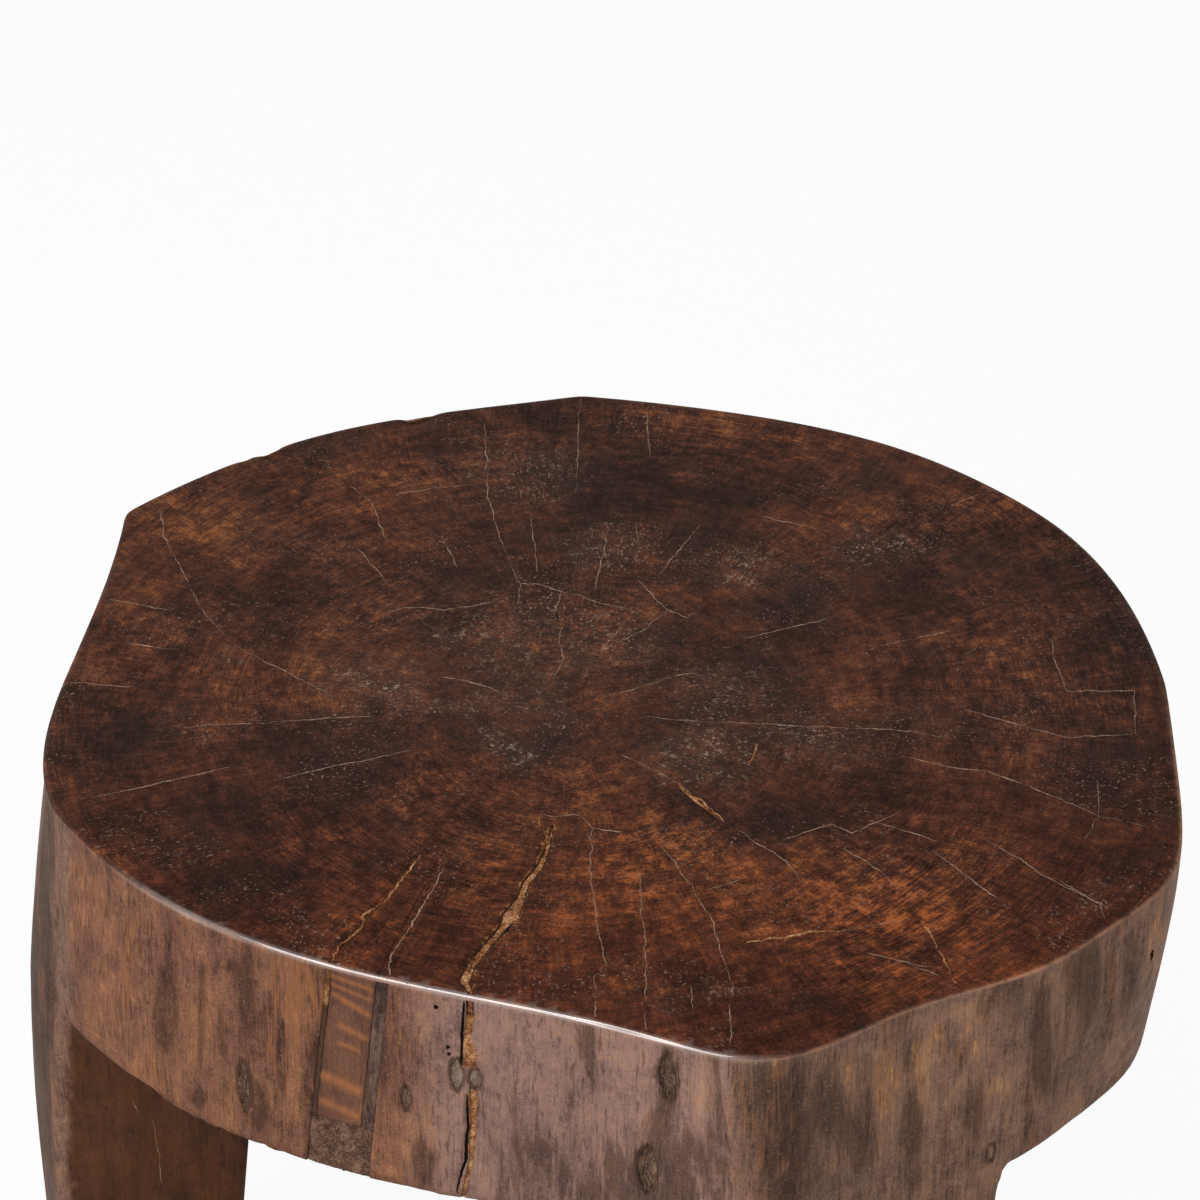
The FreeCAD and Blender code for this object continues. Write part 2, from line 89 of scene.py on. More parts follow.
# The hewn block's voxel size in metres, and its limit of triangles.
BLOCK_GRAIN = 2.1 * MM
BLOCK_TRIANGLES = 165000

# Fine dust-filled drying checks on the seat, as pixels of the photo.
PALE_CHECKS = (
    ((510, 565), (520, 583), (540, 585), (561, 591), (581, 596), (607, 605), (626, 609), (641, 614)),
    ((520, 583), (519, 608)), ((561, 591), (556, 611)),
    ((563, 626), (559, 638), (563, 660), (553, 679)),
    ((637, 578), (662, 605), (669, 610), (687, 618), (699, 609)),
    ((669, 610), (642, 631), (622, 640)), ((623, 622), (599, 655)),
    ((601, 698), (636, 688), (680, 674), (700, 673)),
    ((379, 614), (406, 607), (444, 610), (509, 599)), ((440, 676), (476, 683), (503, 693)),
    ((65, 682), (138, 687)), ((105, 599), (170, 611)), ((203, 641), (237, 647), (337, 698)),
    ((256, 723), (375, 716)), ((161, 501), (163, 534), (189, 584)),
    ((348, 484), (371, 501), (387, 542)), ((352, 542), (392, 588)), ((394, 494), (486, 482)),
    ((484, 411), (488, 496), (494, 519), (509, 561)), ((530, 511), (538, 572)),
    ((276, 779), (411, 750)), ((84, 800), (230, 767)), ((580, 399), (576, 493)),
    ((647, 412), (650, 457)), ((705, 520), (656, 578)), ((755, 515), (819, 529)),
    ((880, 645), (951, 631)), ((737, 640), (830, 618)),
    ((638, 716), (707, 722), (746, 723), (786, 725), (900, 730), (951, 738)),
    ((955, 707), (1066, 738), (1134, 734)),
    ((902, 756), (961, 769), (989, 772), (1037, 789), (1066, 802), (1099, 816), (1155, 828)),
    ((1098, 781), (1098, 816), (1085, 840)), ((983, 837), (1043, 875), (1110, 909)),
    ((932, 850), (1012, 910)), ((1051, 636), (1054, 658), (1067, 691), (1134, 691), (1136, 736)),
    ((946, 508), (980, 493)), ((776, 842), (831, 824), (852, 833), (900, 812)),
    ((842, 847), (881, 872), (900, 890)),
    ((659, 842), (691, 886), (709, 913), (721, 952), (733, 985), (730, 1001)),
    ((639, 872), (646, 962), (646, 1006)),
    ((533, 813), (556, 817), (579, 815), (592, 828), (591, 848), (590, 866), (592, 883), (595, 912),
     (601, 941), (605, 960), (605, 971), (595, 975), (596, 1000)),
    ((592, 828), (623, 832)), ((707, 890), (757, 874)), ((622, 755), (670, 778)),
    ((728, 824), (787, 862), (803, 884)), ((840, 930), (900, 921)),
    ((442, 535), (457, 567)), ((610, 522), (602, 560), (595, 590)), ((635, 520), (639, 545)),
    ((125, 642), (180, 650)), ((189, 584), (203, 612), (237, 647)), ((177, 727), (256, 723)),
    ((868, 953), (905, 962), (936, 968)), ((905, 962), (945, 978)), ((1060, 880), (1100, 905), (1108, 925)),
    ((690, 985), (694, 1012)), ((870, 820), (940, 842)),
)
# Wider checks, stopped with tan filler that has mostly worn away.
TAN_CHECKS = (
    ((670, 778), (700, 800), (728, 824)), ((737, 944), (790, 936), (812, 932), (840, 930)),
    ((748, 767), (760, 741)), ((913, 907), (941, 952), (959, 992)),
    ((537, 815), (545, 832), (548, 845)), ((556, 817), (552, 832), (548, 845)),
    ((332, 960), (338, 947), (348, 939), (361, 927), (364, 915), (374, 909), (388, 897),
     (415, 862), (425, 851)),
)
# The pale seam along the wedge's right joint, on the seat.
PALE_SEAMS = (((390, 979), (389.5, 957), (415, 920), (436, 882), (453, 853)),)
# Pale sapwood bars across the wedge's face: ends as pixels, and half width.
WEDGE_BARS = (((334, 994), (368, 1015), 2.5), ((340, 1025), (366, 1039), 2.5), ((339, 1043), (359, 1051), 2.0),
              ((323, 1075), (359, 1091), 4.5), ((321, 1100), (357, 1116), 3.5), ((330, 975), (372, 990), 1.8),
              ((332, 984), (372, 1001), 1.5))
# Hairlines that run over the rim and down the skirt.
SKIRT_CHECKS = (((730, 1004), (730, 1044)), ((646, 1006), (646, 1031)), ((596, 1000), (595, 1018)),
                ((131, 1098), (139, 1114)), ((152, 1118), (155, 1135), (160, 1160), (161, 1188)))
# Arrises rubbed down to paler wood: on the skirt, and along its lower edge by the left leg.
RUBBED_ARRISES = (((738, 1062), (734, 1085), (728, 1110), (730, 1140), (731, 1165), (735, 1199)),
                  ((70, 1016), (92, 1032), (112, 1046), (140, 1076), (170, 1102)))
# Open slits, cut as grooves whose black inside is painted shade: along the main check on the seat and
# down the skirt.
OPEN_CRACKS = (
    ((531, 880), (524, 897), (519, 912), (507, 930), (489, 949), (478, 961)),
    ((464, 1001), (463, 1021), (461, 1058), (459.5, 1072)),
    ((467.5, 1095), (468, 1125), (466, 1157), (460, 1179), (457, 1192)),
)
# Small bored holes: pixel, and diameter in metres.
HOLES = (((436, 1007), 1.6 * MM), ((448, 1047), 1.3 * MM), ((449, 1054), 1.3 * MM), ((1152, 953), 2.4 * MM),
         ((1152, 957), 2.2 * MM))
# Chips off the far rim: pixel, radius and depth.
RIM_CHIPS = (((270, 452), 5 * MM, 1.6 * MM), ((250, 461), 4 * MM, 1.0 * MM), ((409, 420), 3 * MM, 1.6 * MM),
             ((421, 418), 3.5 * MM, 1.2 * MM), ((433, 416), 3 * MM, 1.4 * MM), ((1053, 538), 3 * MM, 1.2 * MM),
             ((1062, 550), 4 * MM, 1.4 * MM), ((610, 1002), 3 * MM, 0.6 * MM))
# Patches of the seat as ellipses of the photo: middle x, y, half width, half height, strength.
WORN_PATCHES = (
    (590, 785, 42, 26, 0.5), (650, 850, 70, 32, 0.9), (620, 880, 60, 40, 0.7), (700, 900, 80, 40, 0.5),
    (740, 985, 80, 35, 0.3), (880, 900, 110, 60, 0.9), (950, 880, 60, 30, 0.7), (860, 960, 80, 40, 0.5),
    (905, 525, 70, 25, 0.4), (990, 520, 60, 30, 0.6), (420, 800, 42, 26, 0.6), (190, 510, 50, 25, 0.4),
    (150, 650, 50, 50, 0.3), (120, 700, 40, 50, 0.3), (260, 560, 60, 30, 0.25), (400, 480, 80, 40, 0.35),
    (520, 455, 150, 30, 0.35), (640, 430, 120, 20, 0.35), (660, 980, 90, 30, 0.28),
    (330, 520, 60, 40, 0.35), (520, 430, 60, 20, 0.4), (350, 590, 60, 30, 0.4), (720, 440, 80, 25, 0.3),
    (980, 620, 60, 40, 0.3), (1100, 690, 40, 80, 0.3), (300, 860, 60, 40, 0.3), (360, 930, 50, 30, 0.5),
    (480, 870, 40, 50, 0.4), (1000, 680, 70, 30, 0.3), (580, 660, 40, 40, 0.3), (110, 870, 60, 20, 0.5),
)
STAIN_PATCHES = (
    (570, 540, 52, 32, 0.8), (690, 545, 60, 40, 0.7), (800, 595, 42, 26, 1.0), (480, 560, 60, 40, 0.5),
    (620, 480, 60, 40, 0.6), (710, 490, 50, 40, 0.5), (330, 760, 90, 50, 0.7), (240, 810, 60, 40, 0.55),
    (200, 850, 60, 30, 0.5), (260, 880, 60, 30, 0.6), (540, 745, 32, 16, 1.0), (460, 690, 50, 40, 0.5),
    (1000, 600, 50, 30, 0.4), (1090, 770, 50, 60, 0.7), (1120, 640, 40, 50, 0.5), (770, 830, 90, 30, 0.7),
    (720, 820, 50, 20, 0.6), (680, 975, 40, 16, 0.4), (800, 1005, 70, 18, 0.7), (120, 740, 40, 30, 0.6),
    (560, 985, 50, 12, 0.4), (860, 560, 60, 30, 0.6), (760, 670, 50, 30, 0.4),
)
DUST_PATCHES = (
    (380, 685, 42, 26, 0.9), (740, 575, 30, 16, 1.0), (700, 760, 40, 26, 0.6), (500, 640, 60, 40, 0.5),
    (720, 690, 60, 30, 0.5), (440, 635, 20, 14, 0.8), (600, 640, 70, 50, 0.4), (555, 690, 20, 60, 0.4),
    (895, 545, 50, 14, 0.6), (560, 610, 60, 30, 0.4), (520, 470, 60, 30, 0.4), (800, 740, 60, 20, 0.4),
    (470, 705, 40, 14, 0.8), (520, 745, 22, 12, 0.7), (485, 712, 14, 8, 1.0), (715, 745, 24, 14, 0.8),
    (1095, 905, 14, 12, 0.8), (600, 545, 30, 20, 0.6), (245, 652, 16, 8, 0.8), (700, 1000, 20, 10, 0.7),
)
# Filler crumbled over the seat beside the main check.
CRUMB_PATCHES = (
    (472, 977, 20, 13, 0.95), (515, 912, 9, 12, 0.8), (340, 945, 12, 9, 0.75), (362, 920, 10, 9, 0.75),
    (510, 787, 14, 9, 0.75), (495, 796, 12, 9, 0.7), (420, 785, 14, 10, 0.72), (440, 812, 10, 10, 0.65),
)
# Dark runs down the skirt and legs, and paler rubbed places, in the same way.
SKIRT_DARK = (
    (127, 962, 7, 26, 0.9), (120, 1000, 10, 26, 0.6), (165, 1000, 8, 64, 0.9), (200, 975, 9, 16, 0.6),
    (245, 985, 12, 50, 0.8), (225, 960, 26, 12, 0.7), (279, 1040, 7, 90, 0.9), (261, 1100, 9, 36, 0.8),
    (198, 1104, 12, 10, 0.8), (314, 1050, 11, 90, 0.9), (382, 1040, 10, 70, 0.8), (573, 1108, 9, 44, 0.7),
    (592, 1090, 5, 60, 0.6), (667, 1100, 12, 52, 0.8), (542, 1162, 18, 26, 0.8), (424, 1169, 10, 22, 0.9),
    (648, 1172, 10, 26, 0.6), (600, 1160, 12, 40, 0.6), (470, 1120, 6, 40, 0.5), (795, 1111, 18, 60, 0.8),
    (752, 1120, 12, 90, 0.7), (845, 1010, 14, 40, 0.5), (866, 1120, 14, 60, 0.7), (912, 1140, 14, 60, 0.9),
    (905, 1050, 14, 30, 0.6), (1042, 1040, 12, 60, 0.8), (1010, 980, 24, 40, 0.5), (1090, 990, 20, 60, 0.6),
    (1130, 960, 14, 60, 0.6), (970, 1120, 16, 50, 0.6), (780, 1130, 50, 130, 1.0), (640, 1185, 140, 70, 0.8),
)
SKIRT_WORN = (
    (92, 914, 26, 30, 0.5), (110, 990, 20, 30, 0.5), (148, 1070, 14, 34, 0.8), (191, 1030, 18, 50, 0.6),
    (293, 1020, 10, 80, 0.6), (225, 1115, 26, 20, 0.6), (847, 1077, 9, 34, 0.9), (884, 1090, 12, 40, 1.0),
    (921, 1060, 10, 34, 0.9), (934, 1032, 10, 26, 0.8), (975, 1040, 14, 34, 0.6), (1158, 938, 12, 40, 0.7),
    (699, 1090, 7, 40, 0.7), (640, 1110, 8, 60, 0.5), (420, 1110, 12, 40, 0.4), (600, 1040, 60, 8, 0.4),
    (1000, 1080, 30, 40, 0.5), (780, 1060, 10, 30, 0.5),
)
# Borders on the skirt, as columns of the photo between which a tone changes: the grey strip at the
# far left, which is a painted grazing sheen, the darker one within it, and the arris between the front
# and the right side.
GREY_STRIP, DARK_STRIP, SKIRT_ARRIS = (74, 66), (60, 44), (731, 739)
# Borders as turns round the log in degrees: where the left side ends, where the painted mauve sheen
# begins, where the rim shines and stops shining, and where the painted pale highlight on its arris begins.
LEFT_SIDE_TURN = 240
MAUVE_TURNS, SHINE_TURNS, DULL_TURNS, ARRIS_TURNS = (247, 256), (208, 224), (290, 280), (283, 292)
# How much of the rim's shine is left elsewhere.
DULL_SHINE = 0.07
# Distances from the rim, the fillers and the knots over which the rim's wear and its painted
# highlight, crumbs and bark fade out.
SHINE_REACH, ARRIS_REACH = (2.6 * MM, 0.8 * MM), (1.5 * MM, 0.5 * MM)
CRUMB_REACH, BARK_REACH, MIDDLE_REACH = (2.4 * MM, 0.0), (3.5 * MM, 0.0), (0.25 * MM, 1.2 * MM)
# Heights between which the skirt's tone gives way to the legs' darker one, which is painted shade under
# the skirt.
LEG_HEIGHTS = (0.235, 0.2)
# How far a surface faces up, and how high it lies, where end grain takes over from long grain.
UPWARD, END_GRAIN_HEIGHTS = (0.35, 0.75), (0.2, 0.22)
# Heights between which the filler of the wedge's left joint darkens.
SEAM_HEIGHTS = (0.296, 0.284)

# Strands along the checks: the length of a step and the number of sides; then the width, sink and
# stray in millimetres and the fade of the black slits.
STRAND_STEP = 0.8 * MM
STRAND_SIDES = 6
CRACK_FORM = (1.25, 0.12, 1.6, 0.8)
# Crumbs: the smallest and largest stretch along each axis, and the range of turns about them.
CRUMB_SHAPES = ((0.4, 0.5, 0.3), (1.3, 1.0, 0.8))
CRUMB_TURNS = ((0.0, 0.0, 0.0), (6.2, 6.2, 6.2))

# What the seat's colour is multiplied by towards its front.
FRONT_WARMTH = (1.15, 0.85, 0.68, 1.0)
WHITE = (1.0, 1.0, 1.0, 1.0)
# The floor: half its side in metres, its paint, and how far it glows white to the camera.
FLOOR_HALF = 6.0
FLOOR_TONES = ((0.0, (0.86, 0.86, 0.86, 1.0)), (1.0, (0.9, 0.9, 0.9, 1.0)))
FLOOR_WHITENESS = 0.93
WORLD_LIGHT = 0.4
# Soft boxes: name, place, what it looks at, width, height, watts, and turn about its own axis in degrees.
LAMPS = (("rim_box", (-0.82, -0.62, 2.02), (0, 0, 0.3), 1.1, 0.9, 20.0, 36.0),
         ("key_box", (-1.2, -1.5, 1.2), (0, 0, 0.2), 1.2, 1.2, 17.0, 0.0),
         ("fill_box", (1.5, -1.0, 0.9), (0, 0, 0.2), 1.2, 1.2, 7.0, 0.0))


def near_lines(u, v, lines):
    """How strongly each pixel lies on a set of soft straight strokes."""
    field = np.zeros(len(u))
    for (x0, y0), (x1, y1), half in lines:
        length = (x1 - x0) ** 2 + (y1 - y0) ** 2
        along = np.clip(((u - x0) * (x1 - x0) + (v - y0) * (y1 - y0)) / length, 0, 1)
        gap = np.hypot(u - x0 - along * (x1 - x0), v - y0 - along * (y1 - y0))
        field = np.maximum(field, np.exp(-(gap / half) ** 2))
    return field


def sight(pixel):
    """Direction from the camera through a pixel of the photo."""
    up = PHOTO_SIDE / 2 - pixel[1]
    return Vector((pixel[0] - PHOTO_SIDE / 2,
                   math.cos(TILT) * FOCAL + math.sin(TILT) * up,
                   -math.sin(TILT) * FOCAL + math.cos(TILT) * up)).normalized()


def on_seat(pixel):
    """The point of the seat's plane seen at a pixel."""
    ray = sight(pixel)
    return CAMERA_AT + ray * ((SEAT_Z - CAMERA_AT.z) / ray.z)


def on_wood(tree, pixel):
    """The point of the wood seen at a pixel, or of the seat's plane past its edge."""
    hit = tree.ray_cast(CAMERA_AT, sight(pixel))[0]
    return hit if hit is not None else on_seat(pixel)


def photo_pixels(points):
    """Pixels of the photo at which points of the stool are seen."""
    away = points - np.array(CAMERA_AT)
    depth = away[:, 1] * math.cos(TILT) - away[:, 2] * math.sin(TILT)
    up = away[:, 1] * math.sin(TILT) + away[:, 2] * math.cos(TILT)
    half = PHOTO_SIDE / 2
    return half + FOCAL * away[:, 0] / depth, half - FOCAL * up / depth


def smooth_step(values, low, high):
    share = np.clip((values - low) / (high - low), 0.0, 1.0)
    return share * share * (3.0 - 2.0 * share)


def hashed(cells, seed):
    """A fixed random share from 0 to 1 for each row of whole numbers."""
    mixed = np.full(len(cells), seed * 2654435761 % 4294967296, dtype=np.uint64)
    for column, prime in zip(cells.T, (374761393, 668265263, 2246822519)):
        mixed = (mixed + column.astype(np.int64).astype(np.uint64) * np.uint64(prime)) & np.uint64(0xFFFFFFFF)
        mixed = ((mixed ^ (mixed >> np.uint64(13))) * np.uint64(1274126177)) & np.uint64(0xFFFFFFFF)
    return ((mixed ^ (mixed >> np.uint64(16))) & np.uint64(0xFFFFFFFF)).astype(float) / 4294967295.0


def wander(points, size, seed):
    """Smooth noise from -1 to 1 with waves of about the given size, a number or one for each axis."""
    scaled = points / np.array(size)
    base = np.floor(scaled)
    share = scaled - base
    share = share * share * (3.0 - 2.0 * share)
    total = np.zeros(len(points))
    for corner in np.ndindex((2,) * points.shape[1]):
        weight = np.prod(np.where(np.array(corner) == 1, share, 1.0 - share), axis=1)
        total += weight * hashed(base + np.array(corner), seed)
    return 2.0 * total - 1.0


def ridges(across, along, width, length, seed):
    """Distance from the nearest border between hewn facets, as a share of a facet."""
    spots = np.stack([across / width, along / length], axis=1)
    base = np.floor(spots)
    near = np.full((2, len(spots)), 9.0)
    for step in np.ndindex(3, 3):
        cell = base + np.array(step) - 1.0
        seat = cell + np.stack([hashed(cell, seed), hashed(cell, seed + 1)], axis=1)
        gap = np.hypot(*(spots - seat).T)
        second = np.maximum(near[0], gap)
        near[0] = np.minimum(near[0], gap)
        near[1] = np.minimum(near[1], second)
    return near[1] - near[0]


def patches(u, v, spots):
    """How strongly each pixel lies in a set of soft ellipses."""
    field = np.zeros(len(u))
    for x, y, half_width, half_height, strength in spots:
        spread = -((u - x) / half_width) ** 2 - ((v - y) / half_height) ** 2
        field = np.maximum(field, strength * np.exp(spread))
    return field


def place(name, mesh):
    """A new object at the origin, in the scene."""
    thing = bpy.data.objects.new(name, mesh)
    bpy.context.scene.collection.objects.link(thing)
    return thing


def shaped(mesh, *modifiers, kept=None):
    """The mesh after a stack of modifiers, as a plain mesh; kept says how far a point resists thinning."""
    thing = place("workpiece", mesh)
    if kept is not None:
        group = thing.vertex_groups.new(name="kept")
        for level in np.unique(kept):
            group.add(np.flatnonzero(kept == level).tolist(), float(level), "REPLACE")
    for kind, settings in modifiers:
        modifier = thing.modifiers.new(kind.lower(), kind)
        for key, value in settings.items():
            setattr(modifier, key, value)
    result = bpy.data.meshes.new_from_object(thing.evaluated_get(bpy.context.evaluated_depsgraph_get()))
    bpy.data.objects.remove(thing)
    return result


def joined(names, shifts=(Vector(),)):
    """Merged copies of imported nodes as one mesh, each once for every shift."""
    work = bmesh.new()
    for name in names:
        for shift in shifts:
            start = len(work.verts)
            work.from_mesh(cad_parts[name].data)
            work.verts.ensure_lookup_table()
            bmesh.ops.translate(work, verts=work.verts[start:], vec=shift)
    bmesh.ops.remove_doubles(work, verts=work.verts, dist=1e-6)
    mesh = bpy.data.meshes.new("copy")
    work.to_mesh(mesh)
    work.free()
    return mesh


def cut(mesh, cutter, operation):
    """The mesh with another closed mesh taken away from it, or what the two share."""
    tool = place("tool", cutter)
    result = shaped(mesh, ("BOOLEAN", {"object": tool, "operation": operation, "solver": "MANIFOLD",
                                       "material_mode": "TRANSFER"}))
    bpy.data.objects.remove(tool)
    return result


def points_of(mesh, key="co"):
    flat = np.empty(len(mesh.vertices) * 3, dtype=np.float32)
    mesh.vertices.foreach_get(key, flat)
    return flat.reshape(-1, 3).astype(float)


def set_points(mesh, points):
    mesh.vertices.foreach_set("co", points.astype(np.float32).ravel())
    mesh.update()


def add_share(mesh, name, values):
    """A value from 0 to 1 at each point, for the finish to read."""
    shares = np.clip(values, 0, 1).astype(np.float32)
    mesh.attributes.new(name, "FLOAT", "POINT").data.foreach_set("value", shares)


def dress(mesh, *finishes):
    """Leaves the mesh with these finishes and no others."""
    mesh.materials.clear()
    for finish in finishes:
        mesh.materials.append(finish)


def finish_piece(name, mesh, finishes, slot, *nodes):
    """A finished piece on the stool's one body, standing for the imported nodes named."""
    which = np.zeros(len(mesh.polygons), dtype=np.int32)
    mesh.polygons.foreach_get("material_index", which)
    dress(mesh, *finishes)
    mesh.polygons.foreach_set("material_index", np.minimum(which, len(finishes) - 1))
    mesh.polygons.foreach_set("use_smooth", [True] * len(mesh.polygons))
    mesh.name = name
    piece = place(name, mesh)
    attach(piece, BODY)
    if nodes:
        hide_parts(*nodes)


# The hewn block.

LOG_RADIUS = 0.18
# Heights above which points belong to the seat and upper skirt, and above the feet.
SKIRT_Z, FOOT_Z = 0.25, 0.1
# Faces stay small above this height, and within this distance of the log's outside.
FINE_Z, FINE_SKIN = 0.28, 12 * MM
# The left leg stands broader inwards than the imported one: by how much, the heights between which
# that sets in, where it grows from the outer face, and the leg's inner limit, middle and half width.
LEFT_LEG_GAIN = 11 * MM
LEFT_LEG_HEIGHTS = (0.222, 0.2)
LEFT_LEG_GROWTH = (-0.186, -0.146)
LEFT_LEG_INNER, LEFT_LEG_MIDDLE, LEFT_LEG_HALF = -0.09, -0.011, 0.1
# The rim: steps round the log, how many are averaged each way, how far below the seat its radius is
# measured, and how far out the rays start that measure it.
RIM_STEPS, RIM_EASE = 1440, 7
RIM_PROBE, OUTSIDE = 4 * MM, 0.4
# The radius of its worn roll and how that changes, then the band of finer faces and their cuts.
RIM_ROLL, RIM_ROLL_CHANGE = 1.15 * MM, 0.3 * MM
RIM_BAND, RIM_CUTS = 5.0 * MM, 3
# How far in from the edge, and down from it, the rim's own profile reaches.
RIM_REACH = 6.0 * MM
# The stretch of the rim that is rubbed most: its turn, half width in degrees and added roll.
RUBBED_TURN, RUBBED_HALF, RUBBED_ROLL = 273.5, 4.0, 1.4 * MM
# How much sharper the rim was left on the right, and the turns between which that sets in.
SHARP_ROLL = 0.4 * MM
SHARP_TURNS = (283, 296)
# Depths of wear: the skin lost all over, then facets, waves and ripples of the sides, waves and
# ripples of the seat, and pits and waves of the underside.
SKIN = 0.12 * MM
SIDE_FACETS, SIDE_WAVES, SIDE_RIPPLES = 0.4 * MM, 0.25 * MM, 0.08 * MM
SEAT_WAVES, SEAT_RIPPLES = 0.14 * MM, 0.04 * MM
UNDER_PITS, UNDER_WAVES = 0.9 * MM, 0.5 * MM
# Width and length of the hewn facets on the sides and of the pits below the seat.
FACET_SIZE = (0.040, 0.120)
PIT_SIZE = (0.03, 0.05)
# A notch low on the left: its pixel, depth, and reach along each axis.
NOTCH, NOTCH_DEPTH, NOTCH_SIZE = (57, 1010), 2.5 * MM, (0.005, 0.007, 0.006)


def rim_radii(tree):
    """The log's radius just below the rim, all the way round."""
    radii = np.empty(RIM_STEPS)
    for i in range(RIM_STEPS):
        turn = 2 * math.pi * i / RIM_STEPS
        out = Vector((math.cos(turn), math.sin(turn), 0))
        start = out * OUTSIDE + Vector((0, 0, SEAT_Z - RIM_PROBE))
        radii[i] = Vector(tree.ray_cast(start, -out)[0]).xy.length
    kernel = np.hanning(2 * RIM_EASE + 1)
    ring = np.concatenate([radii[-RIM_EASE:], radii, radii[:RIM_EASE]])
    return np.convolve(ring, kernel / kernel.sum(), "valid")


def rim_at(points, radii):
    """The rim's radius over each point."""
    turn = np.arctan2(points[:, 1], points[:, 0]) % (2 * math.pi)
    return np.interp(turn, np.linspace(0, 2 * math.pi, RIM_STEPS + 1), np.append(radii, radii[0]))


def rim_gap(points, radii):
    """Distance of each point from the seat's sharp outer edge."""
    reach = np.hypot(points[:, 0], points[:, 1])
    return np.hypot(rim_at(points, radii) - reach, points[:, 2] - SEAT_Z)


def rim_roll(points, radii):
    """Radius of the worn rim at each point, and the point's place across and up that roll."""
    turn = np.arctan2(points[:, 1], points[:, 0])
    round_log = np.stack([np.cos(turn), np.sin(turn)], axis=1) * LOG_RADIUS
    roll = RIM_ROLL + RIM_ROLL_CHANGE * wander(round_log, 0.05, 3)
    degrees = np.degrees(turn) % 360
    roll -= SHARP_ROLL * smooth_step(degrees, *SHARP_TURNS)
    roll += RUBBED_ROLL * np.exp(-((degrees - RUBBED_TURN) / RUBBED_HALF) ** 2)
    across = (np.hypot(points[:, 0], points[:, 1]) - rim_at(points, radii) + roll) / roll
    return roll, across, (points[:, 2] - SEAT_Z + roll) / roll


def round_rim(mesh, radii):
    """Shades the rim's roll as the smooth round that it is."""
    at, normal = points_of(mesh), points_of(mesh, "normal")
    _, across, up = rim_roll(at, radii)
    turn = np.arctan2(at[:, 1], at[:, 0])
    slope = rim_at(at, np.gradient(radii, 2 * math.pi / RIM_STEPS)) / rim_at(at, radii)
    side = np.stack([np.cos(turn) + slope * np.sin(turn), np.sin(turn) - slope * np.cos(turn)], axis=1)
    side /= np.linalg.norm(side, axis=1)[:, None]
    length = np.maximum(np.hypot(across, up), 1e-6)
    smooth = np.stack([side[:, 0] * across / length, side[:, 1] * across / length, up / length], axis=1)
    rolled = (across > 0) & (up > 0) & ((smooth * normal).sum(axis=1) > 0.75)
    mesh.polygons.foreach_set("use_smooth", [True] * len(mesh.polygons))
    mesh.normals_split_custom_set_from_vertices(np.where(rolled[:, None], smooth, normal).tolist())


def finer_rim(mesh, radii):
    """The mesh with smaller faces along the rim."""
    near = rim_gap(points_of(mesh), radii) < RIM_BAND
    work = bmesh.new()
    work.from_mesh(mesh)
    edges = [edge for edge in work.edges if near[edge.verts[0].index] and near[edge.verts[1].index]]
    bmesh.ops.subdivide_edges(work, edges=edges, cuts=RIM_CUTS, use_grid_fill=True)
    work.to_mesh(mesh)
    work.free()
    return mesh


def eased(mesh, values, rounds):
    """Values at the points, averaged with their neighbours a few times."""
    pairs = np.empty(len(mesh.edges) * 2, dtype=np.int32)
    mesh.edges.foreach_get("vertices", pairs)
    a, b = pairs.reshape(-1, 2).T
    count = 1.0 + np.bincount(a, minlength=len(values)) + np.bincount(b, minlength=len(values))
    for _ in range(rounds):
        columns = [column + np.bincount(a, column[b], len(column)) + np.bincount(b, column[a], len(column))
                   for column in values.T]
        values = np.stack(columns, axis=1) / count[:, None]
    return values


def rolled_over(at, radii):
    """Points of the block with its rim drawn sharp again and then rolled over by wear."""
    reach = np.hypot(at[:, 0], at[:, 1])
    rim = rim_at(at, radii)
    roll = rim_roll(at, radii)[0]
    across = (reach - rim) / RIM_REACH + 1.0
    up = (at[:, 2] - SEAT_Z) / RIM_REACH + 1.0
    near = (across > 0) & (up > 0)
    lean = np.arctan2(np.maximum(up, 0), np.maximum(across, 1e-9)) / (math.pi / 4) - 1.0
    quarter = roll * math.pi / 4
    along = np.sign(lean) * np.abs(lean) ** 1.5 * (RIM_REACH - roll + quarter)
    arc = np.clip(along, -quarter, quarter) / roll + math.pi / 4
    rest = along - np.clip(along, -quarter, quarter)
    new_reach = np.where(near, rim - roll + roll * np.cos(arc) - np.maximum(rest, 0), reach)
    height = np.where(near, SEAT_Z - roll + roll * np.sin(arc) + np.minimum(rest, 0), at[:, 2])
    return np.column_stack([at[:, :2] * (new_reach / np.maximum(reach, 1e-6))[:, None], height])


